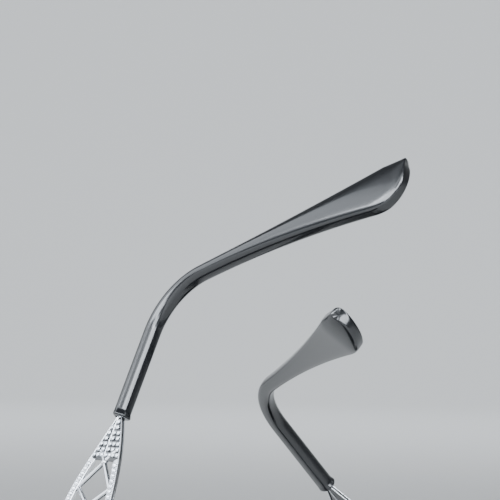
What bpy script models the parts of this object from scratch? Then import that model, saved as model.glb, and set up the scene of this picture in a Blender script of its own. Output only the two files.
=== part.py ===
"""Sunglasses with a full rim, openwork metal arms set with stones, and moulded tips.

They stand face down on the front of the rims, with both temples half folded.
+X is the wearer's right, +Y the wearer's brow, and +Z points back along the temples.
The origin is the middle of the bridge's front face, which lies on the table.
"""
import math

import bmesh
import bpy
import numpy as np
from mathutils import Vector

MM = 0.001

# Clearances
SEAT_GAP = 0.30 * MM            # between a piece and the piece that it is seated on
PIN_GAP = 0.15 * MM             # around screws, in their holes and under their heads

# Lenses and rims
LENS_WIDTH = 51.0 * MM
LENS_HEIGHT = 46.0 * MM
LENS_SQUARENESS = 2.3           # exponent of the superellipse
LENS_FLARE = 0.06               # how much wider the lens is at its top
LENS_LIFT = 2.0 * MM            # rise of the outer top corner
LENS_THICKNESS = 1.8 * MM
LENS_DOME = 0.7 * MM
RIM_WIDTH = 4.2 * MM
FRONT_THICKNESS = 4.0 * MM
EDGE_ROUND = 0.9 * MM
GROOVE_DEPTH = 1.0 * MM
WRAP_START = 28.0 * MM          # the front is flat up to here from the middle, then curves back
WRAP_RADIUS = 260.0 * MM
FRONT_POINTS = 57               # on half of its outline, with both ends
LENS_POINTS = 48
FINE_POINTS = 720               # on a curve before it is sampled evenly

# Bridge
BRIDGE_GAP = 20.0 * MM          # between the two lenses
BRIDGE_HEIGHT = 9.0 * MM
BRIDGE_ABOVE_LENS = 11.0 * MM   # from the middle of a lens up to the middle of the bridge
BRIDGE_TOP_ANGLE = math.radians(112)
BRIDGE_LOW_ANGLE = math.radians(-158)

# Hinges
HINGE_BEYOND_LENS = 1.15 * MM   # pin axis outboard of the lens
HINGE_BELOW_TOP = 5.0 * MM      # pin middle below the top of the lens
KNUCKLE_RADIUS = 1.5 * MM
KNUCKLE_LENGTH = 1.8 * MM
KNUCKLE_SPACE = 0.2 * MM
KNUCKLE_NECK = 1.1 * MM         # half width of a knuckle where it meets the leaf
PIN_RADIUS = 0.55 * MM
PIN_HEAD_RADIUS = 0.95 * MM
LEAF_THICKNESS = 0.8 * MM
LEAF_INBOARD = 2.2 * MM         # from the pin axis to the leaf's inner edge
LEAF_OUTBOARD = 1.5 * MM
LEAF_MARGIN = 2.1 * MM          # leaf beyond the knuckles, which holds a screw
POCKET_DEPTH = 0.7 * MM         # leaves a wall over the lens groove
LEAF_SCREW_RADIUS = 0.5 * MM
LEAF_SCREW_DEPTH = 2.2 * MM
SCREW_HEAD_RADIUS = 0.8 * MM
SCREW_HEAD_HEIGHT = 0.4 * MM
SCREW_HEAD_CHAMFER = 0.16 * MM
TEMPLE_PLATE_START = 2.4 * MM   # from the pin axis
TEMPLE_PLATE_LENGTH = 8.5 * MM
TEMPLE_PLATE_WIDTH = 5.0 * MM
TEMPLE_PLATE_THICKNESS = 1.0 * MM
EAR_BEYOND_HINGE = 5.5 * MM     # corner of the front, from the pin axis
EAR_ABOVE_HINGE = 6.3 * MM
EAR_SPREAD = math.radians(16)

# Temples: a straight run, a bend over the ear and a straight end
LEFT_FOLD = math.radians(25.0)
RIGHT_FOLD = math.radians(47.0)
STRAIGHT_LENGTH = 82.1 * MM     # from the pin axis to the bend
BEND_RADIUS = 14.4 * MM
BEND_ANGLE = math.radians(63)
END_LENGTH = 46.4 * MM          # from the bend to the end of the tip
INWARD_ANGLE = math.radians(8.9)  # of the tip's end, towards the head

# Openwork arm
ARM_THICKNESS = 0.8 * MM
ARM_ROOT = 2.0 * MM             # from the pin axis, where the arm starts to swell
ARM_ROOT_HEIGHT = 10.0 * MM
ARM_MIDDLE_HEIGHT = 13.2 * MM
ARM_FAN_START = 46.0 * MM       # from the pin axis, where the arm starts to narrow
ARM_FAN_POWER = 1.5             # 1 for straight edges, more for edges that bulge
RAIL_WIDTH = 1.6 * MM
STRUT_WIDTH = 0.9 * MM
LATTICE_START = 11.5 * MM
LATTICE_END = 58.0 * MM
LATTICE_CELLS = 6
CORE_HEIGHT = 1.3 * MM
CORE_REACH = 14.5 * MM          # into the tip
STONE_PITCH = 1.1 * MM
STONE_ROW_START = 3.0 * MM
STONE_ROW_STOP = 2.1 * MM       # from the last stone to the tip
SETTING_WIDTH = 1.1 * MM
SETTING_HEIGHT = 0.3 * MM
STONE_HEIGHT = 0.4 * MM

# Tips
TIP_START = 64.6 * MM           # lip, from the pin axis
SHAFT_HEIGHT = 2.8 * MM
SHAFT_THICKNESS = 3.2 * MM
PADDLE_HEIGHT = 9.15 * MM
PADDLE_THICKNESS = 3.3 * MM
PADDLE_FULL_LENGTH = 4.8 * MM   # the paddle has its full height from here to its end
WIDEN_POWER = 1.94              # 1 for a straight taper, more for one that opens late
SHAFT_SQUARENESS = 3.2
PADDLE_SQUARENESS = 5.0
SHAFT_CROWN = 0.42              # how much of the outer side's reach is lost at its edges
PADDLE_CROWN = 0.2
LIP_FLARE = 0.2 * MM
LIP_LENGTH = 1.4 * MM
LIP_ROUND = 0.4 * MM
END_TOP_RADIUS = 0.5 * MM
END_LOW_LENGTH = 8.2 * MM       # of the low corner's curve along the tip
END_LOW_HEIGHT = 7.0 * MM       # of the same curve across the tip
END_ROUND = 0.2 * MM
END_THIN_LENGTH = 6.7 * MM      # over this length the inner side comes nearer to the middle line
END_THIN = 0.65                 # share of the inner side's reach that is lost at the end
END_SLANT = 0.3 * MM            # how far the end's outer top corner runs ahead, and its inner one behind
END_SLANT_LENGTH = 2.5 * MM
SECTION_POINTS = 20

# Nose pads on screwed arms
PAD_SIDE = 10.3 * MM            # pad pivot from the middle
PAD_BELOW_BRIDGE = 16.0 * MM
PAD_BEHIND_FRONT = 6.0 * MM
PAD_SPLAY = math.radians(25)
PAD_FRONTAL = math.radians(12)
PAD_LENGTH = 13.0 * MM
PAD_WIDTH = 7.6 * MM
PAD_THICKNESS = 2.6 * MM
PAD_SQUARENESS = 2.4
PAD_POINTS = 24
PAD_STANDOFF = 1.6 * MM         # from the pivot to the back of the pad
TAB_THICKNESS = 1.0 * MM
TAB_RADIUS = 0.9 * MM
LUG_WALL = 0.8 * MM
LUG_BACK = 1.4 * MM             # from the pivot to the back of the lug
LUG_HEIGHT = 2.6 * MM
PAD_SCREW_RADIUS = 0.4 * MM
PAD_SCREW_HEAD = 0.75 * MM
WIRE_RADIUS = 0.5 * MM
WIRE_INTO_LUG = 0.3 * MM
WIRE_LEAD = 1.7 * MM            # from the lug back to the wire's bend
WIRE_RAISE = 0.8 * MM           # of that bend towards the brow
WIRE_ARCH = 1.6 * MM            # how far the wire bows back between its bends
WIRE_SWING = 2.8 * MM           # and how far outwards
WIRE_RISE = 2.4 * MM            # straight out of the foot
FOOT_ABOVE_PAD = 6.5 * MM
FOOT_WIDTH = 2.8 * MM
FOOT_HEIGHT = 3.4 * MM
FOOT_THICKNESS = 0.8 * MM

# Places worked out from the sizes above
LENS_X = BRIDGE_GAP / 2 + LENS_WIDTH / 2
LENS_Y = -BRIDGE_ABOVE_LENS
LENS_MIDDLE_Z = FRONT_THICKNESS / 2
HINGE_X = BRIDGE_GAP / 2 + LENS_WIDTH + HINGE_BEYOND_LENS
HINGE_Y = LENS_Y + LENS_HEIGHT / 2 - HINGE_BELOW_TOP
HINGE_HALF = 1.5 * KNUCKLE_LENGTH + KNUCKLE_SPACE
LEAF_HALF = HINGE_HALF + LEAF_MARGIN
LEAF_SCREW_Y = HINGE_HALF + LEAF_MARGIN / 2
LEAF_MIDDLE = (LEAF_OUTBOARD - LEAF_INBOARD) / 2
ARM_OFFSET = KNUCKLE_RADIUS + SEAT_GAP + ARM_THICKNESS / 2
CORE_END = TIP_START + CORE_REACH
BEND_END = STRAIGHT_LENGTH + BEND_RADIUS * BEND_ANGLE
TIP_LENGTH_END = BEND_END + END_LENGTH


def wrap(x):
    """How far the front curves back at a distance x from the middle: flat, then a circle's arc."""
    beyond = np.maximum(np.abs(x) - WRAP_START, 0)
    return WRAP_RADIUS - np.sqrt(WRAP_RADIUS ** 2 - beyond ** 2)


POCKET_FLOOR = FRONT_THICKNESS + wrap(HINGE_X) - POCKET_DEPTH
LEAF_TOP = POCKET_FLOOR + SEAT_GAP + LEAF_THICKNESS
HINGE_Z = LEAF_TOP + SEAT_GAP + KNUCKLE_RADIUS
ARM_OUTER_X = HINGE_X + ARM_OFFSET + ARM_THICKNESS / 2
ARM_BUTT = FRONT_THICKNESS + wrap(ARM_OUTER_X) + SEAT_GAP - HINGE_Z


# Building blocks

def material(name, hex_colour, roughness, metallic=0.0, alpha=1.0):
    """Principled material from an sRGB hex colour."""
    values = [int(hex_colour[i:i + 2], 16) / 255 for i in (0, 2, 4)]
    linear = [v / 12.92 if v <= 0.04045 else ((v + 0.055) / 1.055) ** 2.4 for v in values]
    made = bpy.data.materials.new(name)
    made.use_nodes = True
    shader = made.node_tree.nodes["Principled BSDF"]
    shader.inputs["Base Color"].default_value = (*linear, 1)
    shader.inputs["Roughness"].default_value = roughness
    shader.inputs["Metallic"].default_value = metallic
    shader.inputs["Alpha"].default_value = alpha
    return made


def add_object(name, bm, finish=None, parent=None):
    """Turns a closed bmesh into an object with its faces pointing out, shaded smooth."""
    bmesh.ops.recalc_face_normals(bm, faces=bm.faces)
    if bm.calc_volume(signed=True) < 0:
        bmesh.ops.reverse_faces(bm, faces=bm.faces)
    mesh = bpy.data.meshes.new(name)
    bm.to_mesh(mesh)
    bm.free()
    mesh.shade_smooth()
    mesh.set_sharp_from_angle(angle=math.radians(35))
    obj = bpy.data.objects.new(name, mesh)
    bpy.context.scene.collection.objects.link(obj)
    obj.parent = parent
    if finish:
        mesh.materials.append(finish)
    return obj


def add_tool(name, bm, parent=None):
    """A helper solid that another piece is cut by or grown with, and that isn't a piece."""
    tool = add_object(name, bm, parent=parent)
    tool.hide_render = True
    tool.display_type = "WIRE"
    return tool


def combine(obj, tool, operation):
    """Cuts the tool from the object, or unites the two."""
    modifier = obj.modifiers.new(tool.name, "BOOLEAN")
    modifier.operation = operation
    modifier.object = tool


def empty(name, location, parent=None):
    """An empty that pieces are placed by."""
    made = bpy.data.objects.new(name, None)
    made.location = location
    made.parent = parent
    bpy.context.scene.collection.objects.link(made)
    return made


def skin(rings, start, end):
    """Closed surface: quads between neighbouring rings and a fan of triangles to a point at each end."""
    bm = bmesh.new()
    loops = [[bm.verts.new(point) for point in ring] for ring in rings]
    count = len(loops[0])
    for low, high in zip(loops, loops[1:]):
        for i in range(count):
            j = (i + 1) % count
            bm.faces.new((low[i], low[j], high[j], high[i]))
    for loop, point in ((loops[0], start), (loops[-1], end)):
        pole = bm.verts.new(point)
        for i in range(count):
            bm.faces.new((loop[i], loop[(i + 1) % count], pole))
    return bm


def box(low, high):
    """Box between two corners, given in either order."""
    bm = bmesh.new()
    bmesh.ops.create_cube(bm, size=1)
    low, high = np.minimum(low, high), np.maximum(low, high)
    bmesh.ops.scale(bm, vec=high - low, verts=bm.verts)
    bmesh.ops.translate(bm, vec=(low + high) / 2, verts=bm.verts)
    return bm


def turned(profile, axis="Z", segments=16, centre=(0, 0, 0)):
    """Solid of revolution: profile is (radius, height) from its lower end to its upper end."""
    angle = np.arange(segments) * 2 * np.pi / segments
    around = np.stack([np.cos(angle), np.sin(angle), np.zeros(segments)], 1)
    up = np.array([0, 0, 1.0])
    if axis == "Y":
        around = around[:, [0, 2, 1]]
        up = up[[0, 2, 1]]
    rings = [np.array(centre) + radius * around + height * up for radius, height in profile]
    poles = [np.array(centre) + profile[i][1] * up for i in (0, -1)]
    return skin(rings, *poles)


def prism(outline, low, high, holes=()):
    """Extrudes a flat outline with holes, all points (x, z), along Y from low to high."""
    bm = bmesh.new()
    edges = []
    for loop in (outline, *holes):
        verts = [bm.verts.new((x, low, z)) for x, z in loop]
        edges += [bm.edges.new((verts[i - 1], verts[i])) for i in range(len(verts))]
    bmesh.ops.triangle_fill(bm, edges=edges, use_beauty=True)
    grown = bmesh.ops.extrude_face_region(bm, geom=bm.faces[:])["geom"]
    moved = [part for part in grown if isinstance(part, bmesh.types.BMVert)]
    bmesh.ops.translate(bm, vec=(0, high - low, 0), verts=moved)
    return bm


def tube(points, radius, segments=10):
    """Round tube along a path, each ring square to it and turned as little as it can be."""
    tangents = np.gradient(points, axis=0)
    tangents /= np.linalg.norm(tangents, axis=1)[:, None]
    angle = np.arange(segments) * 2 * np.pi / segments
    side = np.cross(tangents[0], (0, 1, 0))
    rings = []
    for point, tangent in zip(points, tangents):
        side = side - tangent * (side @ tangent)
        side /= np.linalg.norm(side)
        other = np.cross(tangent, side)
        rings.append(point + radius * (np.outer(np.cos(angle), side) + np.outer(np.sin(angle), other)))
    return skin(rings, points[0], points[-1])


def resample(points, count, closed=True):
    """Points evenly spaced along a path."""
    path = np.vstack([points, points[:1]]) if closed else np.asarray(points)
    length = np.concatenate([[0], np.cumsum(np.linalg.norm(np.diff(path, axis=0), axis=1))])
    at = np.linspace(0, length[-1], count, endpoint=not closed)
    return np.stack([np.interp(at, length, path[:, i]) for i in range(path.shape[1])], 1)


def offset(loop, distance):
    """Moves the points of an anticlockwise loop outwards along its normals."""
    tangent = np.roll(loop, -1, axis=0) - np.roll(loop, 1, axis=0)
    normal = np.stack([tangent[:, 1], -tangent[:, 0]], 1)
    normal /= np.linalg.norm(normal, axis=1)[:, None]
    return loop + normal * np.reshape(distance, (-1, 1))


def bezier(start, start_handle, end_handle, end, count=24):
    """Cubic curve between two points."""
    t = np.linspace(0, 1, count)[:, None]
    near = (1 - t) ** 3 * start + 3 * t * (1 - t) ** 2 * start_handle
    return near + 3 * t ** 2 * (1 - t) * end_handle + t ** 3 * end


def section(squareness, count=SECTION_POINTS):
    """Unit superellipse, as (across the height, across the thickness)."""
    angle = (np.arange(count) + 0.5) * 2 * np.pi / count
    c, s = np.cos(angle), np.sin(angle)
    power = 2 / squareness
    return np.stack([np.sign(c) * np.abs(c) ** power, np.sign(s) * np.abs(s) ** power], 1)


# Front

def lens_outline(grow=0.0, count=LENS_POINTS):
    """Edge of the right lens opening: a superellipse, wider at its top, its outer top corner raised."""
    unit = section(LENS_SQUARENESS, FINE_POINTS)
    across, up = unit[:, 0], unit[:, 1]
    x = LENS_WIDTH / 2 * across * (1 + LENS_FLARE * up)
    y = LENS_HEIGHT / 2 * up + LENS_LIFT * ((1 + across) / 2) ** 2 * (1 + up) / 2
    loop = offset(resample(np.stack([x, y], 1), FINE_POINTS), grow)
    return resample(loop, count) + (LENS_X, LENS_Y)


def front_outline():
    """Outer edge of the front: rims, raised outer corners, and curves over and under the bridge."""
    edge = lens_outline(0, FINE_POINTS)
    middle = np.array([LENS_X, LENS_Y])
    angle = np.arctan2(*(edge - middle).T[::-1])
    order = np.argsort(angle)
    reach = np.linalg.norm(edge - middle, axis=1)
    corner = np.array([HINGE_X + EAR_BEYOND_HINGE, HINGE_Y + EAR_ABOVE_HINGE]) - middle
    corner_angle = math.atan2(corner[1], corner[0])
    lens_reach = np.interp(corner_angle, angle[order], reach[order])
    corner_grow = np.linalg.norm(corner) - lens_reach - RIM_WIDTH
    rim = offset(edge, RIM_WIDTH + corner_grow * np.exp(-((angle - corner_angle) / EAR_SPREAD) ** 2))
    kept = order[(angle[order] > BRIDGE_LOW_ANGLE) & (angle[order] < BRIDGE_TOP_ANGLE)]
    rim = rim[kept]
    arch = np.array([0, -BRIDGE_HEIGHT / 2])
    brow = np.array([0, BRIDGE_HEIGHT / 2])
    into = (rim[0] - rim[1]) / np.linalg.norm(rim[0] - rim[1])
    out = (rim[-1] - rim[-2]) / np.linalg.norm(rim[-1] - rim[-2])
    low_reach = np.linalg.norm(rim[0] - arch) / 2
    top_reach = np.linalg.norm(rim[-1] - brow) / 2
    under = bezier(arch, arch + (low_reach, 0), rim[0] + into * low_reach, rim[0])
    over = bezier(rim[-1], rim[-1] + out * top_reach, brow + (top_reach, 0), brow)
    half = resample(np.vstack([under[:-1], rim, over[1:]]), FRONT_POINTS, closed=False)
    half[[0, -1], 0] = 0
    return np.vstack([half, half[-2:0:-1] * (-1, 1)])


def front_frame(finish):
    """Rims and bridge in one plate with rounded edges and a groove around each lens opening."""
    outline = front_outline()
    small = EDGE_ROUND * (1 - math.cos(math.radians(45)))
    steps = [(EDGE_ROUND, 0), (small, small), (0, EDGE_ROUND)]
    steps += [(inset, FRONT_THICKNESS - z) for inset, z in reversed(steps)]
    groove_front = LENS_MIDDLE_Z - LENS_THICKNESS / 2 - SEAT_GAP
    groove_back = LENS_MIDDLE_Z + LENS_THICKNESS / 2 + SEAT_GAP
    lip = EDGE_ROUND / 2
    hole_steps = [(lip, 0), (0, lip), (0, groove_front), (GROOVE_DEPTH, groove_front)]
    hole_steps += [(GROOVE_DEPTH, groove_back), (0, groove_back)]
    hole_steps += [(0, FRONT_THICKNESS - lip), (lip, FRONT_THICKNESS)]

    bm = bmesh.new()
    walls = [[(offset(outline, -inset), z) for inset, z in steps]]
    for side in (1, -1):
        walls.append([(lens_outline(grow) * (side, 1), z) for grow, z in hole_steps])
    ends = ([], [])
    for wall in walls:
        loops = [[bm.verts.new((x, y, z)) for x, y in loop] for loop, z in wall]
        count = len(loops[0])
        for low, high in zip(loops, loops[1:]):
            for i in range(count):
                bm.faces.new((low[i - 1], low[i], high[i], high[i - 1]))
        for edges, loop in zip(ends, (loops[0], loops[-1])):
            edges += [bm.edges.get((loop[i - 1], loop[i])) for i in range(count)]
    for edges in ends:
        bmesh.ops.triangle_fill(bm, edges=edges, use_beauty=True)
    for vert in bm.verts:
        vert.co.z += wrap(vert.co.x)
    return add_object("front_frame", bm, finish)


def lens(name, side, finish):
    """Domed lens whose edge sits in the rim's groove."""
    edge = lens_outline(GROOVE_DEPTH - SEAT_GAP)
    centre = np.array([LENS_X, LENS_Y])
    rings = []
    for face in (-1, 1):
        for share in (0.3, 0.6, 0.85, 1.0)[::-face]:
            points = centre + (edge - centre) * share
            z = LENS_MIDDLE_Z + face * LENS_THICKNESS / 2 - LENS_DOME * (1 - share ** 2)
            rings.append(np.column_stack([points[:, 0], points[:, 1], z + wrap(points[:, 0])]))
    top = LENS_MIDDLE_Z - LENS_DOME + wrap(LENS_X)
    poles = [(LENS_X, LENS_Y, top + face * LENS_THICKNESS / 2) for face in (-1, 1)]
    bm = skin(rings, *poles)
    bmesh.ops.scale(bm, vec=(side, 1, 1), verts=bm.verts)
    return add_object(name, bm, finish)


# Hinges. Pieces on a hinge are placed by an empty on its pin axis, with X outwards on each side.

def keyhole(side, foot):
    """Outline of a knuckle around the pin axis, with straight sides down to z = foot."""
    angle = np.radians(np.linspace(-20, 200, 12))
    arc = np.stack([np.cos(angle), np.sin(angle)], 1) * KNUCKLE_RADIUS
    feet = np.array([[-KNUCKLE_NECK, foot], [KNUCKLE_NECK, foot]])
    return np.vstack([arc, feet]) * (side, 1)


def pin_hole(name, radius, half_length, parent):
    """Cutter for a hole along the pin axis."""
    return add_tool(name, turned([(radius, -half_length), (radius, half_length)], "Y"), parent)


def front_hinge(side, label, axis, finish):
    """Leaf in the front's pocket with two knuckles, and a hole for a screw at each end."""
    top = LEAF_TOP - HINGE_Z
    low = (-side * LEAF_INBOARD, -LEAF_HALF, top - LEAF_THICKNESS)
    leaf = box(low, (side * LEAF_OUTBOARD, LEAF_HALF, top))
    hinge = add_object(label + "_front_hinge", leaf, finish, axis)
    sunk = top - LEAF_THICKNESS / 2
    knuckles = prism(keyhole(side, sunk), -HINGE_HALF, HINGE_HALF)
    combine(hinge, add_tool(label + "_knuckles", knuckles, axis), "UNION")
    half = KNUCKLE_LENGTH / 2 + KNUCKLE_SPACE
    reach = KNUCKLE_RADIUS * 2
    between = box((-reach, -half, top), (reach, half, reach))
    combine(hinge, add_tool(label + "_knuckle_space", between, axis), "DIFFERENCE")
    bore = pin_hole(label + "_front_bore", PIN_RADIUS + PIN_GAP, HINGE_HALF * 2, axis)
    combine(hinge, bore, "DIFFERENCE")
    for level in (1, -1):
        centre = (side * LEAF_MIDDLE, level * LEAF_SCREW_Y, top)
        radius = LEAF_SCREW_RADIUS + PIN_GAP
        hole = turned([(radius, -2 * LEAF_THICKNESS), (radius, LEAF_THICKNESS)], centre=centre)
        combine(hinge, add_tool(label + f"_leaf_hole_{level}", hole, axis), "DIFFERENCE")
    return hinge


def temple_hinge(side, label, temple, finish):
    """Middle knuckle on a plate that is brazed to the inner face of the arm."""
    inner = KNUCKLE_RADIUS - TEMPLE_PLATE_THICKNESS
    low = (side * inner, -TEMPLE_PLATE_WIDTH / 2, TEMPLE_PLATE_START)
    high = (side * KNUCKLE_RADIUS, TEMPLE_PLATE_WIDTH / 2, TEMPLE_PLATE_LENGTH)
    plate = add_object(label + "_temple_hinge", box(low, high), finish, temple)
    angle = np.linspace(0, 2 * np.pi - math.acos(inner / KNUCKLE_RADIUS), 16)
    arc = np.stack([np.cos(angle), -np.sin(angle)], 1) * KNUCKLE_RADIUS
    foot = TEMPLE_PLATE_START + SEAT_GAP
    neck = np.array([[inner, foot], [KNUCKLE_RADIUS, foot]])
    outline = np.vstack([arc, neck]) * (side, 1)
    knuckle = prism(outline, -KNUCKLE_LENGTH / 2, KNUCKLE_LENGTH / 2)
    combine(plate, add_tool(label + "_middle_knuckle", knuckle, temple), "UNION")
    bore = pin_hole(label + "_middle_bore", PIN_RADIUS + PIN_GAP, KNUCKLE_LENGTH, temple)
    combine(plate, bore, "DIFFERENCE")
    return plate


def turned_screw(radius, length, head_radius, axis="Z"):
    """Screw whose head's underside is at its origin and whose shank runs down the axis."""
    shoulder = SCREW_HEAD_HEIGHT - SCREW_HEAD_CHAMFER
    profile = [(radius, -length), (radius, 0), (head_radius, 0), (head_radius, shoulder),
               (head_radius - SCREW_HEAD_CHAMFER, SCREW_HEAD_HEIGHT)]
    return turned(profile, axis, 12)


def place(obj, location):
    """Moves an object to its place on its parent."""
    obj.location = location


def cut_front_for_hinge(front, side, label, axis):
    """Pocket for the leaf and a pilot hole for each of its screws."""
    floor = POCKET_FLOOR - HINGE_Z
    low = (-side * (LEAF_INBOARD + SEAT_GAP), -LEAF_HALF - SEAT_GAP, floor)
    high = (side * (LEAF_OUTBOARD + SEAT_GAP), LEAF_HALF + SEAT_GAP, 0)
    combine(front, add_tool(label + "_pocket", box(low, high), axis), "DIFFERENCE")
    deep = LEAF_TOP - HINGE_Z - LEAF_SCREW_DEPTH
    for level in (1, -1):
        centre = (side * LEAF_MIDDLE, level * LEAF_SCREW_Y, 0)
        radius = LEAF_SCREW_RADIUS + PIN_GAP
        pilot = turned([(radius, deep), (radius, floor + SEAT_GAP)], centre=centre)
        combine(front, add_tool(label + f"_pilot_{level}", pilot, axis), "DIFFERENCE")


# Temples. Their pieces are placed by an empty on the pin axis that turns with the fold:
# X is outwards on each side, Y is up at the brow, and Z runs along the straight part of the arm.

def arm_half_height(z):
    """Half height of the openwork arm: it swells gently from the hinge, then narrows to the core."""
    swell = np.clip(z / ARM_FAN_START, 0, 1)
    root = ARM_ROOT_HEIGHT / 2 + (ARM_MIDDLE_HEIGHT - ARM_ROOT_HEIGHT) / 2 * swell ** 2 * (3 - 2 * swell)
    narrow = np.clip((z - ARM_FAN_START) / (TIP_START - ARM_FAN_START), 0, 1)
    return root - (ARM_MIDDLE_HEIGHT - CORE_HEIGHT) / 2 * narrow ** ARM_FAN_POWER


def lattice_holes():
    """Openings between crossed struts: diamonds, with a triangle above and below each crossing."""
    ends = np.linspace(LATTICE_START, LATTICE_END, LATTICE_CELLS + 1)
    pitch = ends[1] - ends[0]
    inner = arm_half_height(ends) - RAIL_WIDTH
    holes = []
    for i in range(LATTICE_CELLS):
        middle = (ends[i] + ends[i + 1]) / 2
        slope = (inner[i] + inner[i + 1]) / pitch
        along = STRUT_WIDTH / 2 * math.hypot(1, 1 / slope)
        across = STRUT_WIDTH / 2 * math.hypot(1, slope)
        for level in (1, -1):
            a, b = ends[i] + along, ends[i + 1] - along
            holes.append([(a, level * inner[i]), (b, level * inner[i + 1]), (middle, level * across)])
        if i < LATTICE_CELLS - 1:
            after = middle + pitch
            tall = inner[i + 1] - across
            tops = [(ends[i + 1], tall), (ends[i + 1], -tall)]
            holes.append([(middle + along, 0), tops[0], (after - along, 0), tops[1]])
    return holes


def arm(side, label, temple, finish):
    """Flat metal arm: rails, crossed struts, and a plain core that runs on inside the tip."""
    swell = np.linspace(ARM_ROOT, ARM_FAN_START, 10)[:-1]
    fan = np.linspace(ARM_FAN_START, TIP_START, 12)
    z = np.concatenate([[ARM_BUTT], swell, fan, [CORE_END]])
    half = arm_half_height(z)
    outline = np.vstack([np.stack([half, z], 1), np.stack([-half, z], 1)[::-1]])
    holes = [[(y, at) for at, y in hole] for hole in lattice_holes()]
    inner = ARM_OFFSET - ARM_THICKNESS / 2
    bm = prism(outline, inner, inner + ARM_THICKNESS, holes)
    for vert in bm.verts:
        height, out, along = vert.co
        vert.co = (side * out, height, along)
    return add_object(label + "_arm", bm, finish, temple)


def stone_row(side, label, level, temple, finish):
    """Strip of square settings along a rail, each with a pointed stone."""
    fine = np.linspace(STONE_ROW_START, TIP_START - STONE_ROW_STOP, FINE_POINTS)
    rail = np.stack([level * (arm_half_height(fine) - RAIL_WIDTH / 2), fine], 1)
    length = np.linalg.norm(np.diff(rail, axis=0), axis=1).sum()
    stones = int(length / STONE_PITCH)
    path = resample(rail, stones + 1, closed=False)
    tangent = np.gradient(path, axis=0)
    tangent /= np.linalg.norm(tangent, axis=1)[:, None]
    across = np.stack([-tangent[:, 1], tangent[:, 0]], 1) * SETTING_WIDTH / 2
    base = ARM_OFFSET + ARM_THICKNESS / 2 + SEAT_GAP
    top = base + SETTING_HEIGHT
    bm = bmesh.new()
    rows = []
    low_edge, high_edge = path - across, path + across
    for edge, out in ((low_edge, base), (high_edge, base), (high_edge, top), (low_edge, top)):
        rows.append([bm.verts.new((side * out, y, z)) for y, z in edge])
    for i in range(stones):
        for row, after in ((0, 1), (1, 2), (3, 0)):
            bm.faces.new((rows[row][i], rows[row][i + 1], rows[after][i + 1], rows[after][i]))
        y, z = (path[i] + path[i + 1]) / 2
        point = bm.verts.new((side * (top + STONE_HEIGHT), y, z))
        corners = [rows[2][i], rows[2][i + 1], rows[3][i + 1], rows[3][i]]
        for j in range(4):
            bm.faces.new((corners[j - 1], corners[j], point))
    for i in (0, stones):
        bm.faces.new([row[i] for row in rows])
    return add_object(f"{label}_{'upper' if level > 0 else 'lower'}_stones", bm, finish, temple)


def temple_line(s):
    """Middle of the temple at a distance s: along, below and inwards from the pin, and its two angles."""
    turn = np.clip((s - STRAIGHT_LENGTH) / BEND_RADIUS, 0, BEND_ANGLE)
    past = np.maximum(s - BEND_END, 0)
    along = np.minimum(s, STRAIGHT_LENGTH) + BEND_RADIUS * np.sin(turn) + past * math.cos(BEND_ANGLE)
    below = BEND_RADIUS * (1 - np.cos(turn)) + past * math.sin(BEND_ANGLE)
    lean_radius = (TIP_LENGTH_END - STRAIGHT_LENGTH) / INWARD_ANGLE
    lean = np.maximum(s - STRAIGHT_LENGTH, 0) / lean_radius
    return along, below, lean_radius * (1 - np.cos(lean)), turn, lean


def tip_ring(side, s, top, low, outer, inner, squareness, crown=0.0, slant=0.0):
    """Ring of the tip around the temple's middle line: how far it reaches up, down, out and in."""
    along, below, inwards, turn, lean = temple_line(s)
    unit = section(squareness)
    up = (top - low) / 2 + unit[:, 0] * (top + low) / 2
    thick = unit[:, 1] * np.where(unit[:, 1] > 0, outer * (1 - crown * unit[:, 0] ** 2), inner)
    out = ARM_OFFSET - inwards + thick * math.cos(lean)
    ahead = thick * math.sin(lean) + slant * unit[:, 1] * (1 + unit[:, 0]) / 2
    y = -below + up * math.cos(turn) - ahead * math.sin(turn)
    return np.column_stack([side * out, y, along + up * math.sin(turn) + ahead * math.cos(turn)])


def tip_sizes(s):
    """Half height, half thickness, squareness and crown: a round shaft that widens to a paddle."""
    widen = np.clip((s - BEND_END) / (TIP_LENGTH_END - PADDLE_FULL_LENGTH - BEND_END), 0, 1)
    into_lip = np.clip(1 - (s - TIP_START) / LIP_LENGTH, 0, 1)
    flare = LIP_FLARE * np.sin(np.pi / 2 * into_lip) ** 2
    half_height = (SHAFT_HEIGHT + (PADDLE_HEIGHT - SHAFT_HEIGHT) * widen ** WIDEN_POWER) / 2 + flare
    half_thickness = (SHAFT_THICKNESS + (PADDLE_THICKNESS - SHAFT_THICKNESS) * widen) / 2 + flare
    squareness = SHAFT_SQUARENESS + (PADDLE_SQUARENESS - SHAFT_SQUARENESS) * widen
    return half_height, half_thickness, squareness, SHAFT_CROWN + (PADDLE_CROWN - SHAFT_CROWN) * widen


def rounded_corner(distance, length, height):
    """How far a corner's elliptic curve cuts in at a distance before its end."""
    inside = np.clip(1 - distance / length, 0, 1)
    return height * (1 - math.sqrt(1 - inside ** 2))


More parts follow.
